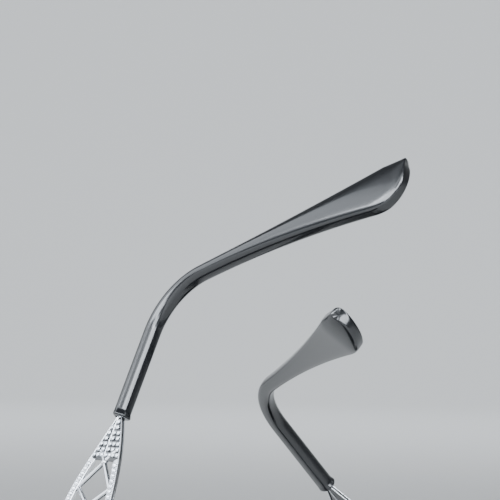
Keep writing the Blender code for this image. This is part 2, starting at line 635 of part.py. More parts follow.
def tip(side, label, temple, finish):
    """Moulded tip: bored for the core at its lip, bent over the ear, and rounded at its end."""
    bore_half = CORE_HEIGHT / 2 + SEAT_GAP
    bore_out = ARM_THICKNESS / 2 + SEAT_GAP
    rings = []
    for s in (CORE_END + SEAT_GAP, TIP_START):
        rings.append(tip_ring(side, s, bore_half, bore_half, bore_out, bore_out, PADDLE_SQUARENESS))
    stations = [TIP_START + LIP_ROUND * share for share in (0, 0.15, 0.5, 1)]
    stations += [TIP_START + LIP_LENGTH * share for share in (0.5, 0.75, 1)]
    stations += list(np.linspace(STRAIGHT_LENGTH, BEND_END, 9))
    stations += list(np.linspace(BEND_END, TIP_LENGTH_END - END_LOW_LENGTH, 8)[1:])
    turns = np.sin(np.radians((15, 30, 44, 57, 68, 77, 84, 90)))
    stations += list(TIP_LENGTH_END - END_LOW_LENGTH * (1 - turns))
    for s in stations:
        half, out, square, crown = tip_sizes(s)
        left = TIP_LENGTH_END - s
        rounding = rounded_corner(s - TIP_START, LIP_ROUND, LIP_ROUND)
        out -= rounding + rounded_corner(left, END_ROUND, END_ROUND)
        inner = out * (1 - END_THIN * np.clip(1 - left / END_THIN_LENGTH, 0, 1) ** 2)
        top = half - rounding - rounded_corner(left, END_TOP_RADIUS, END_TOP_RADIUS)
        low = half - rounding - rounded_corner(left, END_LOW_LENGTH, END_LOW_HEIGHT)
        slant = END_SLANT * np.clip(1 - left / END_SLANT_LENGTH, 0, 1)
        rings.append(tip_ring(side, s, top, low, out, inner, square, crown, slant))
    start = rings[0].mean(axis=0)
    end = rings[-1].mean(axis=0)
    return add_object(label + "_tip", skin(rings, start, end), finish, temple)


# Nose pads. Their pieces are placed by an empty on the pad's pivot, which is turned to the pad:
# X is away from the nose on each side, Y is along the pad, and Z is the pivot's axis.

def nose_pad(side, label, pivot, finish):
    """Soft oval pad with a tab behind it that the pad's screw passes through."""
    angle = np.arange(PAD_POINTS) * 2 * np.pi / PAD_POINTS
    rings = []
    for level in np.linspace(-1, 1, 9)[1:-1]:
        share = (1 - abs(level) ** PAD_SQUARENESS) ** (1 / PAD_SQUARENESS)
        x = -side * (PAD_STANDOFF + PAD_THICKNESS / 2 * (1 + level))
        y, z = PAD_LENGTH / 2 * share * np.cos(angle), PAD_WIDTH / 2 * share * np.sin(angle)
        rings.append(np.column_stack([np.full(PAD_POINTS, x), y, z]))
    poles = [(-side * (PAD_STANDOFF + depth), 0, 0) for depth in (0, PAD_THICKNESS)]
    pad = add_object(label + "_nose_pad", skin(rings, *poles), finish, pivot)
    turn = np.radians(np.linspace(-90, 90, 9))
    end = np.stack([np.cos(turn), np.sin(turn)], 1) * TAB_RADIUS * (side, 1)
    root = -side * (PAD_STANDOFF + PAD_THICKNESS / 2)
    outline = np.vstack([end, [[root, TAB_RADIUS], [root, -TAB_RADIUS]]])
    tab = prism(outline, -TAB_THICKNESS / 2, TAB_THICKNESS / 2)
    for vert in tab.verts:
        vert.co.y, vert.co.z = vert.co.z, vert.co.y
    combine(pad, add_tool(label + "_tab", tab, pivot), "UNION")
    radius = PAD_SCREW_RADIUS + PIN_GAP
    bore = turned([(radius, -TAB_THICKNESS), (radius, TAB_THICKNESS)], segments=12)
    combine(pad, add_tool(label + "_tab_bore", bore, pivot), "DIFFERENCE")
    return pad


def lug_half():
    """Half length of the pad arm's lug along the pivot's axis."""
    return TAB_THICKNESS / 2 + SEAT_GAP + LUG_WALL


def pad_arm(side, label, pivot, finish):
    """Wire arm from a foot on the back of the rim to a forked lug around the pad's tab."""
    foot_x = BRIDGE_GAP / 2 - RIM_WIDTH / 2
    foot_y = -PAD_BELOW_BRIDGE + FOOT_ABOVE_PAD
    foot_z = FRONT_THICKNESS + SEAT_GAP
    low = (side * (foot_x - FOOT_WIDTH / 2), foot_y - FOOT_HEIGHT / 2, foot_z)
    high = (side * (foot_x + FOOT_WIDTH / 2), foot_y + FOOT_HEIGHT / 2, foot_z + FOOT_THICKNESS)
    made = add_object(label + "_pad_arm", box(low, high), finish)
    half = lug_half()
    lug = box((-side * TAB_RADIUS, -LUG_HEIGHT / 2, -half), (side * LUG_BACK, LUG_HEIGHT / 2, half))
    lug_tool = add_tool(label + "_lug", lug, pivot)
    to_world = pivot.matrix_world
    lug_back = np.array(to_world @ Vector((side * (LUG_BACK - WIRE_INTO_LUG), 0, 0)))
    behind = np.array(to_world @ Vector((side * (LUG_BACK + WIRE_LEAD), WIRE_RAISE, 0)))
    route = np.array([[side * foot_x, foot_y, foot_z + FOOT_THICKNESS / 2],
                      [side * foot_x, foot_y, foot_z + WIRE_RISE],
                      [side * (foot_x + WIRE_SWING), foot_y, (foot_z + behind[2]) / 2 + WIRE_ARCH],
                      behind, lug_back])
    wire = add_tool(label + "_wire", tube(rounded_path(route, 4), WIRE_RADIUS))
    combine(made, wire, "UNION")
    combine(made, lug_tool, "UNION")
    slot_half = TAB_THICKNESS / 2 + SEAT_GAP
    slot_end = (side * (TAB_RADIUS + SEAT_GAP / 2), LUG_HEIGHT, slot_half)
    slot = box((-side * TAB_RADIUS * 2, -LUG_HEIGHT, -slot_half), slot_end)
    combine(made, add_tool(label + "_slot", slot, pivot), "DIFFERENCE")
    radius = PAD_SCREW_RADIUS + PIN_GAP
    bore = turned([(radius, -2 * half), (radius, 2 * half)], segments=12)
    combine(made, add_tool(label + "_lug_bore", bore, pivot), "DIFFERENCE")
    return made


def rounded_path(route, steps):
    """Catmull-Rom curve through the route's points."""
    ends = np.vstack([2 * route[0] - route[1], route, 2 * route[-1] - route[-2]])
    points = []
    for a, b, c, d in zip(ends, ends[1:], ends[2:], ends[3:]):
        for t in np.arange(steps) / steps:
            points.append(0.5 * (2 * b + (c - a) * t + (2 * a - 5 * b + 4 * c - d) * t ** 2
                                 + (3 * b - a - 3 * c + d) * t ** 3))
    return np.array(points + [route[-1]])


# Assembly

def clear_scene():
    """Removes what a new file holds."""
    for obj in list(bpy.data.objects):
        bpy.data.objects.remove(obj, do_unlink=True)


def build():
    """Makes every piece of the sunglasses."""
    clear_scene()
    gloss_black = material("gloss_black_frame", "0b0b0c", 0.12)
    tip_black = material("gloss_black_tip", "111214", 0.15)
    silver = material("silver_metal", "c9ccd1", 0.2, 1.0)
    steel = material("hinge_steel", "9b9ea3", 0.3, 1.0)
    stones = material("clear_stones", "e8ecf2", 0.05, 0.3)
    smoke = material("smoke_lens", "2b2c31", 0.05, 0.0, 0.6)
    silicone = material("clear_silicone", "d9dad6", 0.35, 0.0, 0.7)

    front = front_frame(gloss_black)
    for label, side, fold in (("left", -1, LEFT_FOLD), ("right", 1, RIGHT_FOLD)):
        lens(label + "_lens", side, smoke)
        axis = empty(label + "_hinge_axis", (side * HINGE_X, HINGE_Y, HINGE_Z))
        temple = empty(label + "_temple_axis", (0, 0, 0), axis)
        temple.rotation_euler = (0, -side * fold, 0)
        cut_front_for_hinge(front, side, label, axis)
        front_hinge(side, label, axis, steel)
        temple_hinge(side, label, temple, steel)
        pin_top = (0, HINGE_HALF + PIN_GAP, 0)
        pin = turned_screw(PIN_RADIUS, 2 * HINGE_HALF + PIN_GAP, PIN_HEAD_RADIUS, "Y")
        place(add_object(label + "_hinge_screw", pin, steel, axis), pin_top)
        for level, end in (("upper", 1), ("lower", -1)):
            seat = (side * LEAF_MIDDLE, end * LEAF_SCREW_Y, LEAF_TOP - HINGE_Z + PIN_GAP)
            leaf_screw = turned_screw(LEAF_SCREW_RADIUS, LEAF_SCREW_DEPTH, SCREW_HEAD_RADIUS)
            place(add_object(f"{label}_{level}_leaf_screw", leaf_screw, steel, axis), seat)
        arm(side, label, temple, silver)
        for level in (1, -1):
            stone_row(side, label, level, temple, stones)
        tip(side, label, temple, tip_black)

        pad_place = (side * PAD_SIDE, -PAD_BELOW_BRIDGE, FRONT_THICKNESS + PAD_BEHIND_FRONT)
        pivot = empty(label + "_pad_axis", pad_place)
        pivot.rotation_mode = "ZXY"
        pivot.rotation_euler = (0, side * PAD_SPLAY, side * PAD_FRONTAL)
        bpy.context.view_layer.update()
        pad_arm(side, label, pivot, steel)
        nose_pad(side, label, pivot, silicone)
        seat = (0, 0, lug_half() + PIN_GAP)
        pad_screw = turned_screw(PAD_SCREW_RADIUS, 2 * lug_half() + PIN_GAP, PAD_SCREW_HEAD)
        place(add_object(label + "_pad_screw", pad_screw, steel, pivot), seat)


build()
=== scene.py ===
"""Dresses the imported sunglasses: finer shapes, finishes, a pale stage, lights and the camera.

The glasses stand face down on the front of the rims, with both temples partly folded.
+X is the wearer's right, +Y the wearer's brow, and +Z points back along the temples.
Meshes are arrays of points, four-sided faces and three-sided faces, joined piece by piece.
Shapes are worked out in millimetres, and add_piece turns them to metres.
"""
import math

import bmesh
import bpy
import numpy as np
from mathutils import Matrix


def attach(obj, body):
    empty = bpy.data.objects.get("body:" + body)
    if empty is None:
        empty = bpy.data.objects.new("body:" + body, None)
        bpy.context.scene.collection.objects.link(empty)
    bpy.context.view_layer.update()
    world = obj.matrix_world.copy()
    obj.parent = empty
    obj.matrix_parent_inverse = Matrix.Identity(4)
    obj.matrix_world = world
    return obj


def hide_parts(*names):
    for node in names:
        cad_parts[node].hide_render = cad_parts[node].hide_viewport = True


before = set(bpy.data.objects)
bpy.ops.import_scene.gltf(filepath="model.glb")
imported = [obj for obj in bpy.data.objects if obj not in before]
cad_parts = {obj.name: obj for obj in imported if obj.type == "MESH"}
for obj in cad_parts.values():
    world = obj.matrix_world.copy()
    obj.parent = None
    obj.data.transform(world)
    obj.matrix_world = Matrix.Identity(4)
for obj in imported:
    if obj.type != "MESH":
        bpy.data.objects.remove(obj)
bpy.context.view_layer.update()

MM = 0.001
SIDES = (("left", -1), ("right", 1))
ALONG_X, ALONG_Y, ALONG_Z = range(3)

# How far edges are rounded, and how far one piece of metal runs into the next
GROUND_EDGE = 0.05
FINE_EDGE = 0.1
BAR_EDGE = 0.12
LEAF_EDGE = 0.15
PLATE_EDGE = 0.2
LUG_EDGE = 0.25
STRUT_EDGE = 0.3
LAP = 0.3

# Lenses, rims and bridge
LENS_WIDTH = 51.0
LENS_HEIGHT = 46.0
LENS_SQUARENESS = 2.3
LENS_FLARE = 0.06
LENS_LIFT = 2.0
LENS_THICKNESS = 1.8
LENS_DOME = 0.7
LENS_SEAT = 0.7  # how far the lens runs into the rim
LENS_POLE = 0.04  # size of the lens's smallest ring, as a share of its edge
RIM_WIDTH = 4.2
FRONT_THICKNESS = 4.0
EDGE_ROUND = 0.9
LIP_ROUND = 0.45
WRAP_START = 28.0
WRAP_RADIUS = 260.0
LOOP_POINTS = 480  # around each lens
FACE_ROWS = 12  # between the rounded lip and the rounded outer edge
ROUND_STEPS = 8  # in the quarter circle of each
BRIDGE_GAP = 20.0
BRIDGE_HEIGHT = 9.0
BRIDGE_ABOVE_LENS = 11.0
BRIDGE_TOP_ANGLE = math.radians(112)
BRIDGE_LOW_ANGLE = math.radians(-158)
EAR_BEYOND_HINGE = 5.5
EAR_ABOVE_HINGE = 6.3
EAR_SPREAD = math.radians(16)

# Hinges
HINGE_X = 62.15
HINGE_Y = 7.0
HINGE_Z = 8.4525
HINGE_HALF = 2.9
LEAF_TOP = 6.6525
LEAF_THICKNESS = 0.8
LEAF_INBOARD = 2.2
LEAF_OUTBOARD = 1.5
LEAF_HALF = 5.0
KNUCKLE_RADIUS = 1.5
KNUCKLE_LENGTH = 1.8
KNUCKLE_SPACE = 0.2
BORE_RADIUS = 0.7
NECK_HALF = 1.1
NECK_ROOT = 0.2  # how far inside the leaf its necks start
NECK_BELOW_PIN = 0.75
PLATE_START = 2.4
PLATE_END = 8.5
PLATE_WIDTH = 5.0
PLATE_THICKNESS = 1.0
PLATE_NECK_START = 0.2
PLATE_INSET = 0.25  # how far the braze and the neck stay inside the plate
BRAZE_REACH = 0.3  # share of the arm's thickness between its end and the arm's middle

# Screws
PIN_RADIUS = 0.55
PIN_HEAD_RADIUS = 0.95
PIN_GAP = 0.15
LEAF_SCREW_Y = 3.95
LEAF_SCREW = (0.5, 2.2, 0.8)  # radius, length, head's radius
SCREW_HEAD_HEIGHT = 0.4
SCREW_POINT = 0.2  # how far the end is cut back, as a share of the radius
SCREW_DISC = 0.45  # share of the head's height below its slot
SCREW_CHAMFER = 0.3  # share of the head's height that its broken edge takes
SCREW_SLOT = 0.16  # half width of the slot, as a share of the head's radius

# Temples
FOLD = {-1: math.radians(25.0), 1: math.radians(47.0)}
STRAIGHT_LENGTH = 82.1
BEND_RADIUS = 14.4
BEND_ANGLE = math.radians(63)
END_LENGTH = 46.4
BEND_END = STRAIGHT_LENGTH + BEND_RADIUS * BEND_ANGLE
TIP_END = BEND_END + END_LENGTH
INWARD_ANGLE = math.radians(8.9)
ARM_OFFSET = 2.2

# Openwork arm
ARM_THICKNESS = 0.8
ARM_BUTT = -1.7
ARM_ROOT_HEIGHT = 10.0
ARM_MIDDLE_HEIGHT = 13.2
ARM_FAN_START = 46.0
ARM_FAN_POWER = 1.5
RAIL_WIDTH = 1.6
RAIL_INSET = 0.04  # how far a rail stays inside its wires
RAIL_DEPTH = 0.8  # thickness of rails, root plate and struts, as shares of the arm's
ROOT_DEPTH = 0.7
STRUT_DEPTH = 0.9
STRUT_WIDTH = 0.9
STRUT_LAP = 0.2  # how far the struts run into the rails
BOSS = np.array([(0.62, 0.3), (0.4, 0.55), (0.05, 0.62)])  # (radius, height above its middle)
LATTICE_START = 11.5
LATTICE_END = 58.0
LATTICE_CELLS = 6
CORE_HEIGHT = 1.3
CORE_START = 0.2  # how far inside the tip's mouth the core starts
CORE_REACH = 14.5
FAN_DROP = 0.4  # how far the fan next to the tip lies below the core's middle line
FAN_DROP_LENGTH = 27.0
MOUTH_LAP = 0.4  # how far wires and ground run into the tip's mouth
WIRE_HALF = 0.17  # half width of the bright wires along a rail's outer edge
WIRE_DEPTH = 0.3
WIRE_PROUD = 0.02
WIRE_TAPER = 0.4  # share of their width that the wires lose towards the tip
WIRE_TAPER_LENGTH = 5.0
THREAD_HALF = 0.13  # half width of the fine wires between stones
THREAD_LEAD = 0.6  # how far ahead of the first stone they start
SPINE_RAISE = 0.15
SPINE_HALF = 0.14
SPINE_LEAD = 1.5  # how far before the lattice's end the middle wire starts
STONE_PITCH = 1.06
STONE_RADIUS = 0.43
STONE_ROW_START = 3.0
STONE_ROW_INSET = 0.06  # how far the stones sit inside the rail's middle line
PAVE_START = 55.4  # from here to the tip the stones fill the whole fan
PAVE_PITCH = 1.12
PAVE_RADIUS = 0.41
PAVE_SINK = 0.1
PAVE_FIRST = 0.1  # how far inside the tip's mouth the first row lies
PAVE_LEAST_ROOM = 0.5  # a row with less room than this has no stone
PAVE_ROOM = 2.5  # room for one stone, in radii
PAVE_FILL = 0.42  # largest radius of a stone, as a share of its room
PAVE_ON_SPINE = 0.8  # where the room starts, in half widths of the middle wire
PAVE_OFF_WIRE = 1.2  # where it ends, in half widths of the outer wire
RAIL_END = PAVE_START + 0.8
GROUND_START = PAVE_START + 0.4
GROUND_HALF = 0.24  # half thickness of the black ground behind the stones

# Tips
TIP_START = 64.6
SHAFT_HEIGHT = 2.8
SHAFT_THICKNESS = 3.2
PADDLE_HEIGHT = 9.15
PADDLE_THICKNESS = 3.3
PADDLE_FULL_LENGTH = 4.8
WIDEN_POWER = 1.94
SHAFT_SQUARENESS = 3.2
PADDLE_SQUARENESS = 5.0
SHAFT_CROWN = 0.42  # how much of the outer side's reach is lost at its edges
PADDLE_CROWN = 0.2
LIP_FLARE = 0.2
LIP_LENGTH = 1.4
LIP_EDGE = 0.4
LIP_ROUNDER = 0.7  # how much less square the lip is than the shaft
LIP_DROP = 0.2  # how far the lip lies below the shaft's middle line
BORE_HALF_HEIGHT = 0.95
BORE_HALF_WIDTH = 0.7
BORE_SQUARENESS = 4.0
END_TOP_RADIUS = 0.5
END_LOW_LENGTH = 8.2
END_LOW_HEIGHT = 7.0
END_ROUND = 0.2
END_THIN_LENGTH = 6.7  # over this length the inner side comes nearer to the middle line
END_THIN = 0.65
END_SLANT = 0.3  # how far the end's outer top corner runs ahead, and its inner one behind
END_SLANT_LENGTH = 2.5
RING_POINTS = 96  # around the tip

# Nose pads
PAD_PIVOT = (10.3, -16.0, 10.0)
PAD_SPLAY = math.radians(25)
PAD_FRONTAL = math.radians(12)
PAD_LENGTH = 13.0
PAD_WIDTH = 7.6
PAD_THICKNESS = 2.6
PAD_SQUARENESS = 2.4
PAD_STANDOFF = 1.6
PAD_ROWS = 33
PAD_COLUMNS = 72
TAB_THICKNESS = 1.0
TAB_RADIUS = 0.9
LUG_WALL = 0.8
LUG_BACK = 1.4
LUG_HEIGHT = 2.6
LUG_GAP = 0.3
PAD_SCREW_RADIUS = 0.4
PAD_SCREW_HEAD = 0.75
PAD_WIRE_RADIUS = 0.5
PAD_WIRE_ROUND = 0.98  # rounding of the wire's section, as a share of its radius
PAD_WIRE_RISE = 2.4  # where the wire turns, above the foot's underside
PAD_WIRE_SWING = (2.8, 1.6)  # how far its loop swings out and back
PAD_WIRE_BEHIND = (1.7, 0.8)  # how far behind and above the lug it turns in
PAD_WIRE_ASIDE = (0.35, 0.9, -0.25)  # a direction that the wire never takes
FOOT_X = 7.9
FOOT_Y = -9.5
FOOT_Z = 4.3
FOOT_WIDTH = 2.8
FOOT_HEIGHT = 3.4
FOOT_THICKNESS = 0.8

LENS_MIDDLE = np.array([BRIDGE_GAP / 2 + LENS_WIDTH / 2, -BRIDGE_ABOVE_LENS])


# Meshes from arrays

def around(count):
    """Angles evenly spaced round a circle."""
    return np.arange(count) * 2 * np.pi / count


def triples(x, y, z):
    """Rows of three from arrays or numbers: coordinates of points, or corners of faces."""
    return np.stack(np.broadcast_arrays(x, y, z), -1)


def grid(points, closed_rows=False, closed_columns=False):
    """Four-sided faces between neighbouring rows and columns of a grid of points."""
    rows, columns = points.shape[:2]
    index = np.arange(rows * columns).reshape(rows, columns)
    if closed_rows:
        index = np.vstack([index, index[:1]])
    if closed_columns:
        index = np.hstack([index, index[:, :1]])
    quads = np.stack([index[:-1, :-1], index[:-1, 1:], index[1:, 1:], index[1:, :-1]], -1)
    return points.reshape(-1, 3), quads.reshape(-1, 4), np.zeros((0, 3), int)


def skin(rings):
    """Closed tube through rings of points, with a pole in the middle of its first and last ring."""
    points, quads, _ = grid(rings, closed_columns=True)
    total, first = len(points), np.arange(rings.shape[1])
    last = first + total - len(first)
    fans = [triples(first, np.roll(first, -1), total), triples(last, np.roll(last, 1), total + 1)]
    points = np.vstack([points, rings[0].mean(axis=0), rings[-1].mean(axis=0)])
    return points, quads, np.vstack(fans)


def facets(profile, sides):
    """Closed faceted solid: rings of (radius, height), each half a step on, and two poles."""
    radius, height = np.asarray(profile, float).T[:, :, None]
    angle = around(sides) + np.arange(len(radius))[:, None] * np.pi / sides
    rings = triples(radius * np.cos(angle), radius * np.sin(angle), height)
    index = np.arange(len(rings) * sides).reshape(-1, sides)
    after = np.roll(index, -1, axis=1)
    faces = (triples(index[:-1], after[:-1], index[1:]), triples(index[1:], after[:-1], after[1:]),
             triples(index[0], after[0], index.size), triples(after[-1], index[-1], index.size + 1))
    points = np.vstack([rings.reshape(-1, 3), rings[0].mean(axis=0), rings[-1].mean(axis=0)])
    return points, np.zeros((0, 4), int), np.vstack([face.reshape(-1, 3) for face in faces])


def join(*parts):
    """One set of arrays from several."""
    starts = np.cumsum([0] + [len(part[0]) for part in parts])
    return (np.vstack([part[0] for part in parts]),
            np.vstack([part[1] + start for part, start in zip(parts, starts)]),
            np.vstack([part[2] + start for part, start in zip(parts, starts)]))


def repeat(part, places, axes):
    """Copies of a small part: axes holds each copy's three directions as rows."""
    points, quads, triangles = part
    copies = np.einsum("pi,kij->kpj", points, axes) + places[:, None]
    shift = (np.arange(len(places)) * len(points))[:, None, None]
    quads, triangles = (quads + shift).reshape(-1, 4), (triangles + shift).reshape(-1, 3)
    return copies.reshape(-1, 3), quads, triangles


def moved(part, change):
    """The part with its points changed by a function."""
    return change(part[0]), part[1], part[2]


def normalised(vectors):
    """The same directions, each of length 1."""
    return vectors / np.linalg.norm(vectors, axis=-1, keepdims=True)


def sweep(path, across, out, half_width, half_depth, edge, steps=4):
    """Bar along a path whose edges are all rounded.

    Each ring is a rectangle with quarter-circle corners of radius edge. The first and last rings
    are repeated with the radius shrinking as sin t while they step back by edge (1 - cos t).
    """
    path = np.asarray(path, float)
    count = len(path)
    turn = np.linspace(0, np.pi / 2, steps + 1)
    pick = np.concatenate([np.zeros(steps, int), np.arange(count), np.full(steps, count - 1)])
    across, out = (np.broadcast_to(value, path.shape)[pick][:, None] for value in (across, out))
    halves = (np.broadcast_to(value, count)[pick] for value in (half_width, half_depth))
    radius = edge * np.concatenate([np.sin(turn[:-1]), np.ones(count), np.cos(turn[1:])])
    first, last = normalised(path[1] - path[0]), normalised(path[-1] - path[-2])
    at = path[pick]
    at[:steps] += first * (edge * (1 - np.cos(turn[:-1])))[:, None]
    at[-steps:] -= last * (edge * (1 - np.sin(turn[1:])))[:, None]
    at[steps] += first * edge
    at[-steps - 1] -= last * edge
    corner = np.repeat([[1, 1], [-1, 1], [-1, -1], [1, -1]], steps + 1, axis=0)
    angle = np.concatenate([turn + quarter * np.pi / 2 for quarter in range(4)])
    wide, deep = ((half - edge)[:, None] * corner[:, i] for i, half in enumerate(halves))
    x, y = wide + radius[:, None] * np.cos(angle), deep + radius[:, None] * np.sin(angle)
    return skin(at[:, None] + x[..., None] * across + y[..., None] * out)


def box(low, high, edge):
    """Box between two corners with all its edges rounded."""
    low, high = np.minimum(low, high), np.maximum(low, high)
    middle, half = (low + high) / 2, (high - low) / 2
    path = middle + np.outer([-1, 1], (0, 0, half[2]))
    return sweep(path, (1, 0, 0), (0, 1, 0), half[0], half[1], edge)


def turned(profile, axis=ALONG_Z, centre=(0, 0, 0), segments=32, hollow=False):
    """Solid of revolution about an axis: profile rows are (radius, height)."""
    profile = np.asarray(profile, float)
    radius, height, angle = profile[:, :1], profile[:, 1:], around(segments)
    rings = triples(height, radius * np.cos(angle), radius * np.sin(angle))
    rings = np.roll(rings, axis, axis=-1) + centre
    return grid(rings, closed_rows=True, closed_columns=True) if hollow else skin(rings)


def screw(radius, length, head, seat, axis=ALONG_Z):
    """Slotted screw, its head's underside at the seat: a shank, a disc and two half moons."""
    point = SCREW_POINT * radius
    disc, chamfer = SCREW_DISC * SCREW_HEAD_HEIGHT, SCREW_CHAMFER * SCREW_HEAD_HEIGHT
    slot = SCREW_SLOT * head
    shank = turned([(radius - point, -length), (radius, point - length), (radius, 0), (head, 0),
                    (head, disc)], segments=24)
    start = math.asin(slot / head)
    angle = np.linspace(start, math.pi - start, 14)
    reach, z = np.array([(head, disc), (head, SCREW_HEAD_HEIGHT - chamfer),
                         (head - chamfer, SCREW_HEAD_HEIGHT)]).T[:, :, None]
    x, y = reach * np.cos(angle), np.maximum(reach * np.sin(angle), slot)
    made = join(shank, skin(triples(x, y, z)), skin(triples(x, -y, z)))
    return moved(made, lambda points: np.roll(points, axis + 1, axis=-1) + seat)


def new_object(name, data):
    """An object of the data, in the scene."""
    obj = bpy.data.objects.new(name, data)
    bpy.context.scene.collection.objects.link(obj)
    return obj


def add_piece(name, part, material, body, node_name, sharp):
    """Makes an object of the arrays, its faces out, that rides a body and stands for a node."""
    points, quads, triangles = part
    mesh = bpy.data.meshes.new(name)
    mesh.from_pydata(points * MM, [], quads.tolist() + triangles.tolist())
    bm = bmesh.new()
    bm.from_mesh(mesh)
    bmesh.ops.remove_doubles(bm, verts=bm.verts, dist=1e-8)
    bmesh.ops.recalc_face_normals(bm, faces=bm.faces)
    bm.to_mesh(mesh)
    bm.free()
    mesh.shade_smooth()
    mesh.set_sharp_from_angle(angle=math.radians(sharp))
    mesh.materials.append(material)
    obj = new_object(name, mesh)
    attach(obj, body)
    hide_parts(node_name)


# Front: the right half is worked out and the left one is its mirror image

def mirrored(part, side):
    """The part as it is on the right, or its mirror image on the left."""
    return moved(part, lambda points: points * (side, 1, 1))


def wrap(x):
    """How far the front curves back at a distance x from the middle: flat, then a circle's arc."""
    beyond = np.maximum(np.abs(x) - WRAP_START, 0)
    return WRAP_RADIUS - np.sqrt(WRAP_RADIUS ** 2 - beyond ** 2)


def section(squareness, count):
    """Unit superellipses |a|^n + |b|^n = 1, one for each squareness n, as (height, thickness)."""
    angle = (np.arange(count) + 0.5) * 2 * np.pi / count
    power = 2 / np.reshape(squareness, (-1, 1))
    c, s = np.cos(angle), np.sin(angle)
    return np.stack([np.sign(c) * np.abs(c) ** power, np.sign(s) * np.abs(s) ** power], -1)


def lengths(path):
    """Length along a path up to each of its points."""
    return np.concatenate([[0], np.cumsum(np.linalg.norm(np.diff(path, axis=0), axis=1))])


def points_at(path, at):
    """Points of a path at some lengths along it."""
    return np.stack([np.interp(at, lengths(path), column) for column in path.T], 1)


def resample(points, count, closed=True):
    """Points evenly spaced along a path."""
    path = np.vstack([points, points[:1]]) if closed else points
    return points_at(path, np.linspace(0, lengths(path)[-1], count, endpoint=not closed))


def offset(loop, distance):
    """Moves the points of an anticlockwise loop outwards along its normals."""
    tangent = np.roll(loop, -1, axis=0) - np.roll(loop, 1, axis=0)
    normal = normalised(np.stack([tangent[:, 1], -tangent[:, 0]], 1))
    return loop + normal * np.reshape(distance, (-1, 1))


def bezier(start, start_handle, end_handle, end, count=60):
    """Cubic curve between two points."""
    t = np.linspace(0, 1, count)[:, None]
    near = (1 - t) ** 3 * start + 3 * t * (1 - t) ** 2 * start_handle
    return near + 3 * t ** 2 * (1 - t) * end_handle + t ** 3 * end


def lens_outline(grow=0.0):
    """Edge of the right lens opening: a superellipse, wider at its top, its outer corner raised."""
    unit = section(LENS_SQUARENESS, LOOP_POINTS)[0]
    across, up = unit[:, 0], unit[:, 1]
    x = LENS_WIDTH / 2 * across * (1 + LENS_FLARE * up)
    y = LENS_HEIGHT / 2 * up + LENS_LIFT * ((1 + across) / 2) ** 2 * (1 + up) / 2
    return offset(resample(np.stack([x, y], 1), LOOP_POINTS), grow) + LENS_MIDDLE


def half_outline():
    """Outer edge of the right half, with a point for each point of the lens edge.

    From the underside of the bridge around the rim to its top, then down the middle of the bridge.
    Gives the points, the lens edge's order that matches them, and which lie on the middle line.
    """
    edge = lens_outline()
    angle = np.arctan2(*(edge - LENS_MIDDLE).T[::-1])
    order = np.argsort(angle)
    reach = np.linalg.norm(edge - LENS_MIDDLE, axis=1)
    corner = np.array([HINGE_X + EAR_BEYOND_HINGE, HINGE_Y + EAR_ABOVE_HINGE]) - LENS_MIDDLE
    corner_angle = math.atan2(corner[1], corner[0])
    corner_reach = RIM_WIDTH + np.interp(corner_angle, angle[order], reach[order])
    ear = np.exp(-((angle - corner_angle) / EAR_SPREAD) ** 2)
    rim = offset(edge, RIM_WIDTH + (np.linalg.norm(corner) - corner_reach) * ear)
    order = np.roll(order, -np.searchsorted(angle[order], BRIDGE_LOW_ANGLE))
    turned_by = (angle[order] - BRIDGE_LOW_ANGLE) % (2 * np.pi)
    kept = int((turned_by < BRIDGE_TOP_ANGLE - BRIDGE_LOW_ANGLE).sum())
    rim = rim[order[:kept]]
    arch, brow = np.array([0, -BRIDGE_HEIGHT / 2]), np.array([0, BRIDGE_HEIGHT / 2])
    into, out = normalised(rim[0] - rim[1]), normalised(rim[-1] - rim[-2])
    low_reach = np.linalg.norm(rim[0] - arch) / 2
    top_reach = np.linalg.norm(rim[-1] - brow) / 2
    under = bezier(arch, arch + (low_reach, 0), rim[0] + into * low_reach, rim[0])
    over = bezier(rim[-1], rim[-1] + out * top_reach, brow + (top_reach, 0), brow)
    spare = LOOP_POINTS - kept
    top, middle = spare * 3 // 8, spare // 4
    low = spare - top - middle
    top_line = resample(over, top + 1, closed=False)[1:]
    low_line = resample(under, low + 1, closed=False)[:-1]
    middle_line = np.linspace(brow, arch, middle + 2)[1:-1]
    on_middle = np.zeros(LOOP_POINTS, bool)
    on_middle[kept + top:kept + top + middle] = True
    return np.vstack([rim, top_line, middle_line, low_line]), order, on_middle


